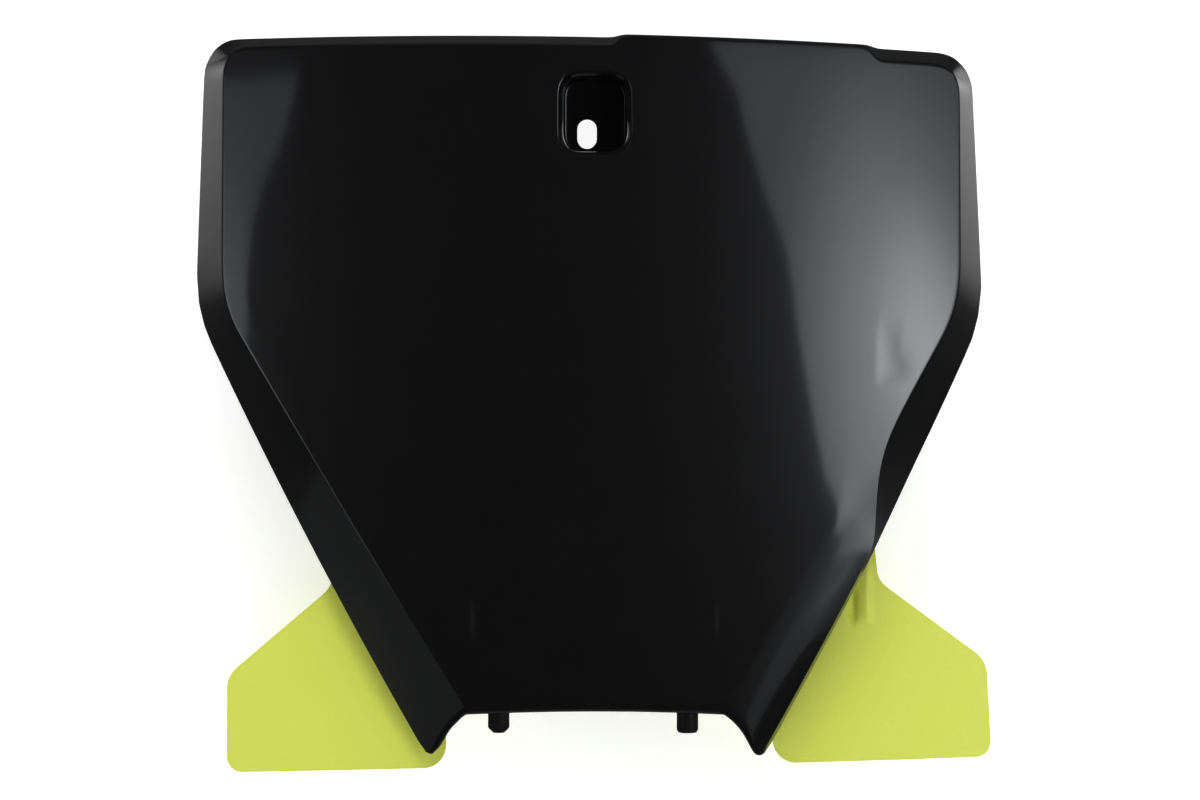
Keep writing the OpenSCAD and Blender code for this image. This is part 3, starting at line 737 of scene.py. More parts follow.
        for grow in (0.3, 0.0):
            loop = extruded_ring(bm, loop, tags, on_slot(grow))

    def build(self) -> bpy.types.Object:
        """Returns the shell as one smooth piece."""
        columns, rows = self.columns(), self.rows()
        nx, nz = len(columns) - 1, len(rows) - 1
        bm = bmesh.new()
        bmesh.ops.create_grid(bm, x_segments=nx, y_segments=nz, size=1.0)
        spots: dict[BMVert, tuple[int, int]] = {}
        for v in bm.verts:
            i, j = round((v.co.x + 1) / 2 * nx), round((1 - v.co.y) / 2 * nz)
            spots[v] = (i, j)
        for v, (i, j) in spots.items():
            v.co = self.lattice_point(rows[j], columns[i])
        self.cut_pocket(bm, spots)
        outward(bm, Vector((0, -1, 0)))
        tips = [(v.index, v.co.z) for v in self.indexed(bm)]
        obj = new_object("face_shell", bm)
        group = obj.vertex_groups.new(name="wall")
        for index, z in tips:
            near = smooth((5 * self.form.horn_r - self.form.horn_z - z) / (3 * self.form.horn_r))
            group.add([index], mix(1.0, self.horn_wall, near), "REPLACE")
        thickened(obj, self.form.wall, self.rim_crease, "wall")
        smoothed(obj, self.levels)
        return obj

    @staticmethod
    def indexed(bm: BMesh) -> Iterable[BMVert]:
        """Returns the mesh's vertices with their indices brought up to date."""
        bm.verts.index_update()
        return bm.verts


@dataclass
class BackDetails:
    """Lugs, ribs and screw bosses that stand on the back of the shell."""

    form: BoardForm
    bosses: Bosses
    lug_d: float = 7
    left_lug_x: float = 31.3
    right_lug_x: float = 30
    lug_end_z: float = 199.9
    lug_depth: float = 18
    left_lug_tip: float = 1.6
    right_lug_tip: float = 0.7
    lug_root_d: float = 8
    rib_t: float = 2.4
    rib_h: float = 24
    rib_inset: float = 3.4
    rib_round: float = 0.4
    steps: int = 32

    def lug(self, name: str, x: float, tip: float) -> bpy.types.Object:
        """Returns one locating lug, turned about its upright axis, with its chamfered or pointed end."""
        r, end, root = self.lug_d / 2, -self.lug_end_z, self.lug_root_d / 2
        low, high = -self.form.bottom_z + self.form.bottom_roll, -self.form.bottom_z + self.rib_h / 2
        profile = [(0.0, end), (r - tip - 0.35, end), (r - tip, end + 0.12), (r - 0.25, end + tip - 0.15),
                   (r, end + tip + 0.35), (r, end + 6), (r, low), (root - 0.2, low), (root, low + 0.2),
                   (root, high - 0.4), (root - 0.5, high), (0.0, high)]
        bm = lathed(profile, Vector((x, self.lug_depth, 0)), Vector((0, 0, 1)), self.steps)
        return new_object(name, bm)

    def rib(self, name: str, x: float) -> bpy.types.Object:
        """Returns the rib that joins a lug to the back of the face."""
        low, high = -self.form.bottom_z + self.form.bottom_roll, -self.form.bottom_z + self.rib_h
        front, half = self.form.face_y(x, high) + self.form.wall / 2 + self.rib_inset, self.rib_t / 2
        corner = Vector((x + half, self.lug_depth, high))
        return new_object(name, slab(Vector((x - half, front, low)), corner, self.rib_round))

    def boss(self, name: str, x: float, z: float) -> bpy.types.Object:
        """Returns a screw boss with its pilot hole and the short rib across it."""
        front = self.form.face_y(x, z) + self.form.wall / 2 + 0.6
        back, r, hole = self.bosses.back, self.bosses.d / 2, self.bosses.pilot_d / 2
        deep = back - self.bosses.pilot_depth
        profile = [(0.0, front), (r, front), (r, back - 0.3), (r - 0.3, back), (hole, back), (hole, deep), (0.0, deep)]
        bm = lathed(profile, Vector((x, 0, z)), Vector((0, 1, 0)), self.steps)
        half, tall = self.rib_t / 2, r + self.rib_t
        low, high = Vector((x - half, front, z - tall)), Vector((x + half, back - r, z + tall))
        mesh = meshed("rib", slab(low, high, self.rib_round))
        bm.from_mesh(mesh)
        bpy.data.meshes.remove(mesh)
        return new_object(name, bm)

    def build(self) -> list[bpy.types.Object]:
        """Returns the lugs, ribs and bosses."""
        return [self.lug("left_lug", -self.left_lug_x, self.left_lug_tip),
                self.lug("right_lug", self.right_lug_x, self.right_lug_tip),
                self.rib("left_lug_rib", -self.left_lug_x), self.rib("right_lug_rib", self.right_lug_x),
                *(self.boss(f"boss_{n + 1}", x, z) for n, (x, z) in enumerate(self.bosses.spots()))]


def lathed(profile: list[tuple[float, float]], centre: Vector, axis: Vector, steps: int) -> BMesh:
    """Turns a profile about an axis into a closed body.

    Args:
        profile: Points as (distance from the axis, distance along it), from one pole to the other.
        centre: A point on the axis; the second number of a profile point is added along the axis.
        axis: Direction of the axis, +Y or +Z.
        steps: Number of sides.

    Returns:
        The body's mesh.
    """
    bm = bmesh.new()
    out = Vector((1, 0, 0))
    verts = [bm.verts.new(centre + out * r + axis * h) for r, h in profile]
    edges = [bm.edges.new(pair) for pair in zip(verts, verts[1:])]
    bmesh.ops.spin(bm, geom=verts + edges, cent=centre, axis=axis, angle=math.tau, steps=steps, use_merge=True)
    bmesh.ops.remove_doubles(bm, verts=bm.verts, dist=1e-4)
    bmesh.ops.recalc_face_normals(bm, faces=bm.faces)
    return bm


def slab(low: Vector, high: Vector, bevel: float) -> BMesh:
    """Makes a block between two corners with slightly rounded edges."""
    bm = bmesh.new()
    bmesh.ops.create_cube(bm, size=1.0)
    bmesh.ops.scale(bm, vec=high - low, verts=bm.verts)
    bmesh.ops.translate(bm, vec=(low + high) / 2, verts=bm.verts)
    bmesh.ops.bevel(bm, geom=bm.edges, offset=bevel, offset_type="OFFSET", affect="EDGES", segments=2, profile=0.5,
                    material=-1)
    return bm


@dataclass(frozen=True)
class WingRelief:
    """Soft ridge and valley beside a wing's neck; places across are measured inwards from the neck's width."""

    depth: float = 0.9
    low: float = 44
    high: float = 66
    valley_high: float = 59
    ease: float = 5
    crest: float = 1.25
    crest_in: float = 3.6
    crest_w_outer: float = 1.0
    crest_w_inner: float = 2.2
    valley: float = 2.5
    valley_in: float = 8.6
    valley_w: float = 1.4

    def sink(self, x: float, h: float) -> float:
        """Returns how far the relief sets the sheet back, at x past the neck's width and h up."""
        fade = smooth((h - self.low) / self.ease) * smooth((self.high - h) / self.ease)
        beyond = x + self.crest_in
        crest = self.crest * bell(beyond / (self.crest_w_outer if beyond > 0 else self.crest_w_inner))
        valley = bell((x + self.valley_in) / self.valley_w) * smooth((self.valley_high - h) / self.ease)
        return self.depth * fade * (self.valley * valley - crest)


@dataclass
class Wing:
    """One yellow-green wing: a bent sheet behind a lower corner of the plate."""

    side: Side
    name: str
    bosses: Bosses
    inner_x: float
    foot_z: float
    width: float
    neck_w: float
    neck_h: float
    tilt: float
    thick: float = 2
    slack: float = 0.02
    bend_r: float = 600
    shoulder_h: float = 31.8
    rise: float = 13.2
    tab_rise: float = 23.2
    tab_margin: float = 2
    relief: WingRelief | None = None
    neck_cells_w: float = 11.5
    cells: int = 34
    levels: int = 2

    @property
    def tab_top(self) -> float:
        """Returns the height of the hidden tab above its upper screw."""
        return self.foot_z - self.bosses.upper_z + self.tab_rise

    def outline(self) -> list[Vector]:
        """Returns the dense outline of the wing, drawn outwards from its inner lower corner."""
        bosses = self.bosses
        tab = self.inner_x - bosses.x + bosses.d / 2 + self.tab_margin
        tab_foot = self.foot_z - bosses.upper_z - bosses.pitch - bosses.d / 2 - self.tab_margin
        corners = [Vector(p) for p in (
            (0, 0), (self.width, 0), (self.width - 1, self.shoulder_h), (self.neck_w, self.neck_h),
            (self.neck_w - 1, self.neck_h + self.rise), (-tab, self.tab_top), (-tab, tab_foot),
            (0, tab_foot - tab / 2))]
        radii = [7.5, 5, 9, 7, 3, 3, 3, 3]
        points: list[Vector] = []
        n = len(corners)
        for i in range(n):
            points += self.corner_arc(corners[i - 1], corners[i], corners[(i + 1) % n], radii[i])
        return points

    @staticmethod
    def corner_arc(a: Vector, b: Vector, c: Vector, r: float, steps: int = 14) -> list[Vector]:
        """Returns the arc of radius r that rounds the corner b between a and c."""
        u, w = (a - b).normalized(), (c - b).normalized()
        half = math.acos(u.dot(w)) / 2
        centre = b + (u + w).normalized() * r / math.sin(half)
        p, q = b + u * r / math.tan(half) - centre, b + w * r / math.tan(half) - centre
        start = math.atan2(p.y, p.x)
        turn = math.atan2(p.x * q.y - p.y * q.x, p.dot(q))
        return [centre + r * Vector((math.cos(start + turn * i / steps), math.sin(start + turn * i / steps)))
                for i in range(steps + 1)]

    def spans(self, heights: list[float]) -> list[tuple[float, float]]:
        """Returns the outline's left and right ends at each height."""
        points = self.outline()
        found = []
        for h in heights:
            cuts = []
            for p, q in zip(points, points[1:] + points[:1]):
                if (p.y - h) * (q.y - h) <= 0 and abs(p.y - q.y) > 1e-9:
                    cuts.append(p.x + (q.x - p.x) * (h - p.y) / (q.y - p.y))
            found.append((min(cuts), max(cuts)))
        return found

    def heights(self) -> list[float]:
        """Returns the levels of the wing's rows, crowded where its corners are round."""
        low = [0.02, 0.25, 0.75, 1.5, 2.6, 4.2, 6.2]
        top = min(self.tab_top, self.neck_h + self.rise)
        mid = [6.2 + (top - 9.2) * i / self.cells for i in range(1, self.cells)]
        return low + mid + [top - 3, top - 1.8, top - 0.9, top - 0.3, top - 0.02]

    def columns(self) -> list[float]:
        """Returns the columns, 0 to 1 up to the neck's upright ones, 1 to 2 across those and 2 to 3 beyond."""
        inner = [0.0, 0.02, 0.06] + [i / 18 for i in range(2, 18)]
        neck = [1 + i / 13 for i in range(14)]
        return inner + neck + [2 + i / 12 for i in range(1, 12)] + [2.965, 3.0]

    def column_x(self, column: float, left: float, right: float) -> float:
        """Returns the place of a column in a row that runs from left to right."""
        low, high = self.neck_w - self.neck_cells_w, self.neck_w - 1
        full = max(right, self.neck_w + 0.5)
        stops = [left, low, high, full]
        n = min(2, int(column))
        return left + (mix(stops[n], stops[n + 1], column - n) - left) * (right - left) / (full - left)

    def sheet_y(self, x: float) -> float:
        """Returns how far back the wing's front lies at x."""
        return self.bosses.back + arc_in(self.bend_r, abs(x) - self.bosses.x)

    def build(self) -> bpy.types.Object:
        """Returns the wing as one smooth piece."""
        heights = self.heights()
        spans = self.spans(heights)
        columns = self.columns()
        nx, nz = len(columns) - 1, len(heights) - 1
        bm = bmesh.new()
        bmesh.ops.create_grid(bm, x_segments=nx, y_segments=nz, size=1.0)
        side, tilt = self.side.value, math.radians(self.tilt)
        for v in bm.verts:
            i, j = round((v.co.x + 1) / 2 * nx), round((v.co.y + 1) / 2 * nz)
            left, right = spans[j]
            p = Vector((self.column_x(columns[i], left, right), heights[j]))
            x = side * (self.inner_x + p.x * math.cos(tilt) - p.y * math.sin(tilt))
            z = p.x * math.sin(tilt) + p.y * math.cos(tilt) - self.foot_z
            sink = self.relief.sink(p.x - self.neck_w, p.y) if self.relief else 0.0
            v.co = Vector((x, self.sheet_y(x) + self.slack + sink, z))
        outward(bm, Vector((0, -1, 0)))
        obj = new_object(self.name, bm)
        thickened(obj, self.thick - 2 * self.slack, 0.6)
        smoothed(obj, self.levels)
        return obj


@dataclass
class WingScrews:
    """Pan-head screws with a six-lobed recess that hold the wings to the bosses."""

    bosses: Bosses
    seat_y: float = 30
    shank_d: float = 2.9
    length: float = 11
    head_d: float = 5.6
    head_h: float = 1.8
    recess_r: float = 1.25
    lobe: float = 0.2
    recess_depth: float = 0.9
    steps: int = 48

    def build(self) -> list[bpy.types.Object]:
        """Returns one piece for each screw."""
        return [self.screw(f"wing_screw_{n + 1}", x, z) for n, (x, z) in enumerate(self.bosses.spots())]

    def screw(self, name: str, x: float, z: float) -> bpy.types.Object:
        """Returns one screw: the turned body, with the recess pressed into its head."""
        r, top = self.head_d / 2, self.seat_y + self.head_h
        shank, tip = self.shank_d / 2, self.seat_y - self.length
        seat, hole, floor = self.seat_y, self.recess_r, top - self.recess_depth
        profile = [(0.0, tip), (shank - 0.5, tip + 0.1), (shank, tip + 1.1), (shank, seat + 0.02),
                   (r - 0.15, seat + 0.02),
                   (r, seat + 0.2), (r, seat + 0.7), (r - 0.25, seat + 1.25), (r - 0.8, seat + 1.62),
                   (r - 1.25, top - 0.02), (hole, top - 0.01), (hole, top - 0.2), (hole, floor), (0.0, floor - 0.15)]
        bm = lathed(profile, Vector((x, 0, z)), Vector((0, 1, 0)), self.steps)
        for v in bm.verts:
            flat = Vector((v.co.x - x, v.co.z - z))
            if v.co.y > seat + 0.5 and hole - 0.05 < flat.length < hole + 0.05:
                flat *= 1 + self.lobe * math.cos(6 * math.atan2(flat.y, flat.x))
                v.co = Vector((x + flat.x, v.co.y, z + flat.y))
        return new_object(name, bm)


class Nodes:
    """A shader node tree and the ways to fill it."""

    def __init__(self, tree: bpy.types.NodeTree) -> None:
        """Takes up a tree and clears it."""
        tree.nodes.clear()
        self.tree = tree

    @cached_property
    def place(self) -> bpy.types.NodeSocket:
        """Returns the piece's own coordinates."""
        return self.node("TexCoord").outputs["Object"]

    def node(self, kind: str, **values) -> bpy.types.Node:
        """Adds a node and fills it.

        Args:
            kind: The node's type without its ShaderNode prefix.
            **values: A name in small letters is a setting of the node. A capitalised one is the name of an
                input, with _ for a space, and in_ with a number is the input at that place. An input takes a
                value, a socket, or another node, which stands for its first output in use.

        Returns:
            The node.
        """
        node = self.tree.nodes.new("ShaderNode" + kind)
        for label, value in values.items():
            if label[0].isupper():
                socket = node.inputs[label.replace("_", " ")]
            elif label.startswith("in_"):
                socket = node.inputs[int(label[3:])]
            else:
                setattr(node, label, value)
                continue
            if isinstance(value, (bpy.types.Node, bpy.types.NodeSocket)):
                self.link(value, socket)
            else:
                socket.default_value = value
        return node

    def link(self, source: bpy.types.Node | bpy.types.NodeSocket, socket: bpy.types.NodeSocket) -> None:
        """Links a socket, or a node's first output in use, to an input."""
        if isinstance(source, bpy.types.Node):
            source = next(output for output in source.outputs if output.enabled)
        self.tree.links.new(source, socket)

    def maths(self, operation: str, *values) -> bpy.types.Node:
        """Adds a sum of the given kind over up to three values, sockets or nodes."""
        return self.node("Math", operation=operation, **{f"in_{n}": value for n, value in enumerate(values)})

    def ramp(self, value, start: float, end: float, low: float = 0.0, high: float = 1.0,
             kind: str = "LINEAR") -> bpy.types.Node:
        """Adds a ramp that runs from low to high as value runs from start to end."""
        return self.node("MapRange", interpolation_type=kind, Value=value, From_Min=start, From_Max=end,
                         To_Min=low, To_Max=high)

    def noise(self, scale, detail: float, rough: float, place=None) -> bpy.types.Node:
        """Adds a noise texture, over the piece's own coordinates unless a place is given."""
        return self.node("TexNoise", Vector=place or self.place, Scale=scale, Detail=detail, Roughness=rough)

    def blend(self, share, colour: Colour, other: Colour) -> bpy.types.Node:
        """Adds a mix of two colours, where a share of 1 gives the other one."""
        return self.node("Mix", data_type="RGBA", in_0=share, in_6=(*colour, 1), in_7=(*other, 1))


class Group(Nodes):
    """A shader node group with named inputs and outputs, all of them numbers."""

    def __init__(self, name: str, inputs: dict[str, float], *outputs: str) -> None:
        """Starts the group.

        Args:
            name: The group's name.
            inputs: Each input with its usual value.
            *outputs: The names of its outputs.
        """
        super().__init__(bpy.data.node_groups.new(name, "ShaderNodeTree"))
        for label in (*inputs, *outputs):
            way = "INPUT" if label in inputs else "OUTPUT"
            socket = self.tree.interface.new_socket(label, in_out=way, socket_type="NodeSocketFloat")
            socket.default_value = inputs.get(label, 0.0)
        self.source = self.tree.nodes.new("NodeGroupInput").outputs
        self.sink = self.tree.nodes.new("NodeGroupOutput").inputs

    def ended(self, **results) -> bpy.types.NodeTree:
        """Links each named output to its node and returns the group's tree."""
        for label, node in results.items():
            self.link(node, self.sink[label])
        return self.tree


def grain_group() -> bpy.types.NodeTree:
    """Builds the fine moulded grain with long soft waves under it: a height and a mask that vary over the surface."""
    g = Group("moulded_grain", {"Grain": 900.0, "Wave": 30.0, "Wave Share": 0.3}, "Height", "Mottle")
    height = g.node("Mix", data_type="FLOAT", in_0=g.source["Wave Share"], in_2=g.noise(g.source["Grain"], 3.0, 0.55),
                    in_3=g.noise(g.source["Wave"], 2.0, 0.5))
    return g.ended(Height=height, Mottle=g.noise(55.0, 4.0, 0.6))


def scuff_group() -> bpy.types.NodeTree:
    """Builds fine handling marks: thin crossing scratches, only here and there, as a mask from 0 to 1."""
    g = Group("handling_marks", {"Length": 14.0, "Density": 0.35}, "Marks")
    masks = []
    for angle, seed in ((0.5, 3.0), (-0.9, 11.0)):
        turned = g.node("Mapping", Vector=g.place, Location=(seed, 0.0, 0.0), Rotation=(0.0, angle, 0.0),
                        Scale=(1.0, 1.0, 26.0))
        masks.append(g.ramp(g.noise(g.source["Length"], 2.0, 0.6, turned), 0.66, 0.72))
    some = g.maths("LESS_THAN", g.noise(18.0, 2.0, 0.5), g.source["Density"])
    return g.ended(Marks=g.maths("MULTIPLY", g.maths("MAXIMUM", *masks), some))


def painted_sink_highlight_group() -> bpy.types.NodeTree:
    """Builds a painted highlight along the two faint upright sink lines that the screw bosses behind leave on the face,
    as a mask from 0 to 1.
    """
    g = Group("rib_lines", {"Middle": 0.0025, "Apart": 0.0393, "Height": -0.1567}, "Lines")
    parts = g.node("SeparateXYZ", Vector=g.place).outputs
    gap, level = parts["X"], parts["Z"]
    for label in ("Middle", "Apart"):
        gap = g.maths("ABSOLUTE", g.maths("SUBTRACT", gap, g.source[label]))
    level = g.maths("ABSOLUTE", g.maths("SUBTRACT", level, g.source["Height"]))
    across = g.ramp(gap, 0.0, 0.0014, 1.0, 0.0, "SMOOTHSTEP")
    along = g.ramp(level, 0.001, 0.0085, 1.0, 0.0, "SMOOTHSTEP")
    return g.ended(Lines=g.maths("MULTIPLY", across, along))


def edge_group() -> bpy.types.NodeTree:
    """Builds a mask that is 1 along rubbed convex edges and 0 on flat surfaces."""
    g = Group("edge_wear", {"Start": 0.52, "End": 0.6}, "Wear")
    bend = g.node("NewGeometry").outputs["Pointiness"]
    span = g.ramp(bend, g.source["Start"], g.source["End"])
    return g.ended(Wear=g.maths("MULTIPLY", span, g.noise(240.0, 3.0, 0.6)))


def new_material(name: str) -> tuple[bpy.types.Material, Nodes]:
    """Returns a new material and its empty tree."""
    material = bpy.data.materials.new(name)
    material.use_nodes = True
    return material, Nodes(material.node_tree)


@dataclass(frozen=True)
class MouldedPlastic:
    """Finish of a moulded polypropylene part."""

    name: str
    colour: Colour
    # Colour of rubbed edges and scuffs, and on the face also of the painted highlight along the sink lines over the
    # bosses.
    wear_and_highlight: Colour
    rough: float
    rough_spread: float
    bump: float
    grain: float
    wave_share: float
    specular: float = 0.5
    coat: float = 0.0
    coat_rough: float = 0.07
    # Strength of the painted highlight along the sink lines over the screw bosses, which lightens the face's colour.
    rib_lines: float = 0.0
    mark_tint: float = 0.1
    mark_rough: float = 0.02
    index: float = 1.49

    def build(self, grain: bpy.types.NodeTree, scuffs: bpy.types.NodeTree,
              edges: bpy.types.NodeTree) -> bpy.types.Material:
        """Returns the material.

        Args:
            grain: The moulded grain's node group.
            scuffs: The handling marks' node group.
            edges: The edge wear's node group.

        Returns:
            The new material.
        """
        material, n = new_material(self.name)
        skin = n.node("BsdfPrincipled", IOR=self.index, Specular_IOR_Level=self.specular, Coat_Weight=self.coat,
                      Coat_Roughness=self.coat_rough)
        surface = n.node("Group", node_tree=grain, Grain=self.grain, Wave_Share=self.wave_share).outputs
        marks = n.node("Group", node_tree=scuffs)
        wear_and_highlight = n.maths("MAXIMUM", n.node("Group", node_tree=edges), n.maths("MULTIPLY", marks, self.mark_tint))
        # Painted highlight: the colour is lightened along the sink lines over the bosses, standing in for the light
        # they catch.
        if self.rib_lines:
            wear_and_highlight = n.maths("MULTIPLY_ADD", n.node("Group", node_tree=painted_sink_highlight_group()), self.rib_lines, wear_and_highlight)
        n.link(n.blend(wear_and_highlight, self.colour, self.wear_and_highlight), skin.inputs["Base Color"])
        rough = n.ramp(surface["Mottle"], *MOTTLE, self.rough - self.rough_spread, self.rough + self.rough_spread)
        n.link(n.maths("MULTIPLY_ADD", marks, self.mark_rough, rough), skin.inputs["Roughness"])
        n.link(n.node("Bump", Strength=1.0, Distance=self.bump, Height=surface["Height"]), skin.inputs["Normal"])
        n.node("OutputMaterial", Surface=skin)
        return material


@dataclass(frozen=True)
class PlatedSteel:
    """Finish of the zinc-plated screws."""

    name: str = "screw_steel"
    colour: Colour = (0.56, 0.57, 0.58)
    dull: Colour = (0.44, 0.43, 0.4)
    rough_low: float = 0.26
    rough_high: float = 0.44
    grain: float = 2500.0

    def build(self, grain: bpy.types.NodeTree) -> bpy.types.Material:
        """Returns the material, with a slightly mottled plating from the grain group."""
        material, n = new_material(self.name)
        mottle = n.node("Group", node_tree=grain, Grain=self.grain).outputs["Mottle"]
        rough = n.ramp(mottle, *MOTTLE, self.rough_low, self.rough_high)
        n.node("OutputMaterial", Surface=n.node("BsdfPrincipled", Metallic=1.0, Roughness=rough,
                                                Base_Color=n.blend(mottle, self.colour, self.dull)))
        return material


@dataclass
class Studio:
    """Pale floor, backdrop, soft lights and the camera."""

    camera_at: tuple[float, float, float] = (4.2, -1219.7, -86.34)
    lens: float = 112.5
    sensor: float = 36
    floor_z: float = -262
    floor_back: float = 250
    backdrop_y: float = 52
    backdrop_low: float = -800
    backdrop_high: float = 700
    reach: float = 900
    box_far: float = 1.6
    light_far: float = 1.5
    backdrop_glow: float = 0.42
    cool: Colour = (0.93, 0.96, 1.0)

    def camera(self) -> None:
        """Puts the camera straight in front of the board."""
        data = bpy.data.cameras.new("camera")
        data.lens, data.sensor_width = self.lens, self.sensor
        obj = linked("camera", data)
        obj.location = Vector(self.camera_at) * MM
        obj.rotation_euler = (math.radians(90), 0, 0)
        bpy.context.scene.camera = obj

    @staticmethod
    def way(azimuth: float, height: float) -> Vector:
        """Returns a direction: azimuth 0 towards the camera and positive to the right, height upwards, in degrees."""
        a, e = math.radians(azimuth), math.radians(height)
        return Vector((math.sin(a) * math.cos(e), -math.cos(a) * math.cos(e), math.sin(e)))

    def towards(self, azimuth: float, height: float, far: float) -> Vector:
        """Returns the point far metres from the board's middle in a direction given in degrees."""
        x, _, z = self.camera_at
        return Vector((x, 0, z)) * MM + self.way(azimuth, height) * far

    def softbox(self, name: str, azimuth: float, height: float, width: float, tall: float, watts: float) -> None:
        """Adds a softbox that looks at the board and that no reflection shows.

        Args:
            name: The light's name.
            azimuth: Its direction from the board in degrees, 0 towards the camera, positive to the right.
            height: Its elevation in degrees.
            width: Its width in metres.
            tall: Its height in metres.
            watts: Its power.
        """
        data = bpy.data.lights.new(name, "AREA")
        data.shape, data.size, data.size_y, data.energy = "RECTANGLE", width, tall, watts
        obj = linked(name, data)
        turn = self.way(azimuth, height).to_track_quat("Z", "Y").to_matrix().to_4x4()
        obj.matrix_world = Matrix.Translation(self.towards(azimuth, height, self.light_far)) @ turn
        obj.visible_camera = obj.visible_glossy = False

    def glowing_sheet(self, name: str, near_edge: list[tuple[float, float]], far_edge: float, rest: float,
                      spots: tuple[tuple[float, float, float, float], ...] = (), back: float = 0.0) -> None:
        """Adds a curved softbox front that glows most round a few spots and that the camera doesn't see.

        Args:
            name: The sheet's name.
            near_edge: Its edge nearest the camera as directions (azimuth, elevation) in degrees, from top to bottom.
            far_edge: Azimuth of its other edge.
            rest: Its radiance away from the spots.
            spots: Azimuth and elevation of each spot, the angle over which its glow falls off, and its radiance.
            back: How much further away than the other sheets it stands, in metres.
        """
        material, n = new_material(name)
        glow = rest
        for azimuth, height, spread, power in spots:
            gap = n.node("VectorMath", operation="DISTANCE", in_0=n.place,
                         in_1=self.towards(azimuth, height, self.box_far))
            glow = n.maths("ADD", n.ramp(gap, 0.0, math.radians(spread) * self.box_far, power, 0.0, "SMOOTHSTEP"), glow)
        n.node("OutputMaterial", Surface=n.node("Emission", Color=(*self.cool, 1), Strength=glow))
        bm = bmesh.new()
        rows = len(near_edge) - 1
        bmesh.ops.create_grid(bm, x_segments=12, y_segments=rows, size=1.0)
        for v in bm.verts:
            azimuth, height = near_edge[round((1 - v.co.y) / 2 * rows)]
            v.co = self.towards(mix(azimuth, far_edge, (v.co.x + 1) / 2), height, self.box_far + back)
        obj = self.staged(name, bm, material)
        obj.visible_camera = obj.visible_shadow = False

    @staticmethod
    def staged(name: str, bm: BMesh, material: bpy.types.Material) -> bpy.types.Object:
        """Returns a bmesh in metres as a new object of the studio, with its material."""
        obj = linked(name, meshed(name, bm))
        obj.data.materials.append(material)
        return obj

    def paper(self, name: str, one_sided: bool) -> bpy.types.Material:
        """Returns pale matt paper; the one-sided kind glows a little and can't be seen from behind."""
        material, n = new_material(name)
        skin = n.node("BsdfPrincipled", Base_Color=(0.9, 0.9, 0.9, 1), Roughness=0.9, Specular_IOR_Level=0.1)
        if one_sided:
            skin.inputs["Emission Color"].default_value = (1, 1, 1, 1)
            skin.inputs["Emission Strength"].default_value = self.backdrop_glow
            behind = n.node("NewGeometry").outputs["Backfacing"]
            skin = n.node("MixShader", in_0=behind, in_1=skin, in_2=n.node("BsdfTransparent"))
        n.node("OutputMaterial", Surface=skin)
        return material

    def flat(self, name: str, near: tuple[float, float], far: tuple[float, float], one_sided: bool) -> None:
        """Adds the floor or the backdrop, which no reflection shows.

        Args:
            name: Its name.
            near: Its lower or nearer edge as (y, z) in millimetres of the frame.
            far: Its other edge.
            one_sided: Whether it can't be seen from behind.
        """
        bm = bmesh.new()
        places = ((-self.reach, near), (self.reach, near), (self.reach, far), (-self.reach, far))
        bm.faces.new([bm.verts.new(Vector((x, *edge)) * MM) for x, edge in places])
        obj = self.staged(name, bm, self.paper(f"{name}_paper", one_sided))
        obj.visible_glossy = False

    @staticmethod
    def world() -> None:
        """Makes the surroundings: white to the camera, bright beside and behind the board, dark in front and below."""
        world = bpy.data.worlds.new("studio")
        world.use_nodes = True
        n = Nodes(world.node_tree)
        way = n.node("SeparateXYZ", Vector=n.node("TexCoord").outputs["Generated"]).outputs
        glow = n.ramp(way["Y"], 0.02, 0.5, 0.0, 1.15)
        for axis, start, end, low, high in (("Z", -0.08, 0.2, 0.07, 1.3), ("Z", 0.22, 0.38, 1.0, 0.03),
                                            ("X", -0.9, 0.9, 1.0, 1.06)):
            glow = n.maths("MULTIPLY", glow, n.ramp(way[axis], start, end, low, high))
        level = n.maths("ADD", glow, n.ramp(way["Z"], 0.4, 0.9, 0.012, 0.07))
        seen = n.node("Mix", data_type="FLOAT", in_0=n.node("LightPath").outputs["Is Camera Ray"], in_2=level, in_3=1.0)
        n.node("OutputWorld", Surface=n.node("Background", Color=(1, 1, 1, 1), Strength=seen))
        bpy.context.scene.world = world

    def build(self) -> None:
        """Sets up the camera, the lights, the floor and the backdrop."""
        self.camera()
        self.world()
        right_edge = [(15.5, 15.5), (19.3, 13.0), (19.9, 11.4), (21.9, 8.4), (24.2, 5.5), (24.9, 1.9), (26.0, -1.5),
                      (27.3, -5.0), (31.5, -8.0), (37.3, -13.0), (41.2, -17.2), (46.2, -20.9), (52.0, -25.4),
                      (59.0, -28.8), (65.5, -31.0)]
        left_edge = [(-39.8, 14.4), (-40.6, 11.8), (-41.8, 9.8), (-42.5, 8.0), (-42.8, 4.5), (-43.0, 0.0),
                     (-42.0, -12.0), (-46.0, -23.0)]
        right_spots = ((38.0, 0.0, 18.0, 4.4), (41.0, 2.5, 8.0, 3.7), (50.0, -15.0, 13.0, 3.3), (57.0, -21.0, 8.0, 2.0))
        self.glowing_sheet("right_box", right_edge, 66, 1.1, right_spots)
        low_edge = [(40.5, -16.0), (44.5, -22.0), (46.0, -28.0), (50.0, -42.0)]
        self.glowing_sheet("low_right_card", low_edge, 66, 0.2, back=0.05)
        self.glowing_sheet("left_box", left_edge, -66, 0.75, ((-52.0, 0.0, 14.0, 2.2),))
        self.glowing_sheet("low_left_card", [(-46.0, -23.0), (-46.0, -42.0)], -108, 0.16)
        self.softbox("top_box", -8, 60, 1.6, 0.7, 25)
        self.softbox("low_box", -10, -58, 1.2, 0.5, 12)
        self.flat("floor", (-self.reach, self.floor_z), (self.floor_back, self.floor_z), False)
        self.flat("backdrop", (self.backdrop_y, self.backdrop_low), (self.backdrop_y, self.backdrop_high), True)
        bpy.context.scene.view_settings.view_transform = "Standard"


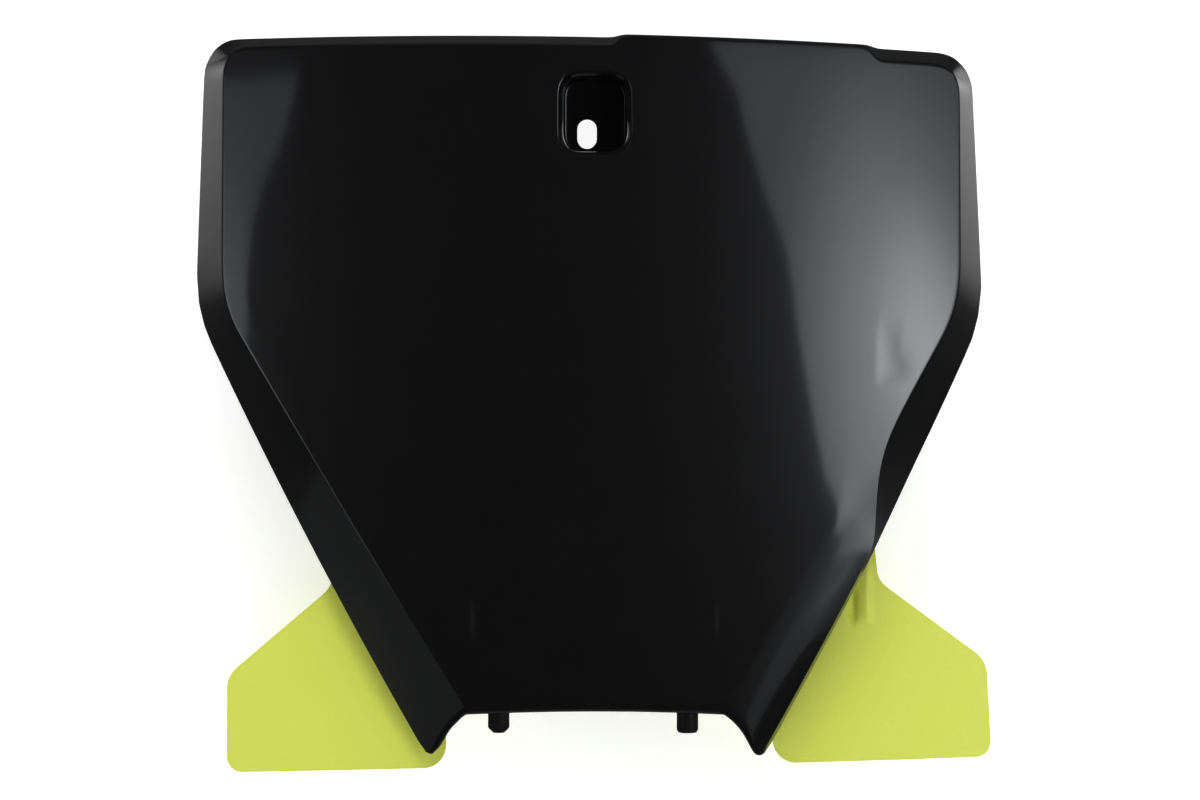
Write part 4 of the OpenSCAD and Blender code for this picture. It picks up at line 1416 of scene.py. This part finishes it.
def dress(pieces: Iterable[bpy.types.Object], material: bpy.types.Material, node: str) -> None:
    """Gives pieces their material and ties them to the frame.

    Args:
        pieces: The pieces.
        material: Their material.
        node: The drawing's node that the pieces stand for.
    """
    for piece in pieces:
        piece.data.materials.clear()
        piece.data.materials.append(material)
        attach(piece, "root")
        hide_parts(node)
        LOG.info("%s: %d vertices before smoothing", piece.name, len(piece.data.vertices))


def main() -> None:
    """Builds the board's pieces, their finishes and the studio."""
    logging.basicConfig(level=logging.INFO, format="%(message)s")
    groups = grain_group(), scuff_group(), edge_group()
    # Colour of rubbed edges and scuffs, and on the face also of the painted highlight along the sink lines.
    wear_and_highlight_black = (0.012, 0.012, 0.013)
    gloss = MouldedPlastic("plate_plastic", (0.0040, 0.0040, 0.0044), wear_and_highlight_black, rough=0.32, rough_spread=0.03,
                           bump=0.000012, grain=1100.0, wave_share=0.12, specular=0.17, coat=0.8, rib_lines=0.6)
    matt = MouldedPlastic("plate_plastic_back", (0.0055, 0.0055, 0.006), wear_and_highlight_black, rough=0.5, rough_spread=0.05,
                          bump=0.00003, grain=900.0, wave_share=0.2, specular=0.15)
    lime = MouldedPlastic("wing_plastic", (0.595, 0.65, 0.084), (0.7, 0.77, 0.2), rough=0.45, rough_spread=0.05,
                          bump=0.00008, grain=1400.0, wave_share=0.2, specular=0.35).build(*groups)
    form, bosses = BoardForm(), Bosses()
    left = Wing(Side.LEFT, "left_wing_sheet", bosses, inner_x=48.6, foot_z=212.3, width=72.7, neck_w=36.2,
                neck_h=60.2, tilt=-1.6)
    right = Wing(Side.RIGHT, "right_wing_sheet", bosses, inner_x=58.4, foot_z=210.9, width=72.2, neck_w=35.8,
                 neck_h=59, tilt=1.3, relief=WingRelief())
    dress([FaceShell(form, Pocket(), PressMark()).build()], gloss.build(*groups), "face_plate")
    dress(BackDetails(form, bosses).build(), matt.build(*groups), "face_plate")
    dress([left.build()], lime, "left_wing")
    dress([right.build()], lime, "right_wing")
    dress(WingScrews(bosses).build(), PlatedSteel().build(groups[0]), "wing_screws")
    Studio().build()
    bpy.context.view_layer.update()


if __name__ == "__main__":
    main()
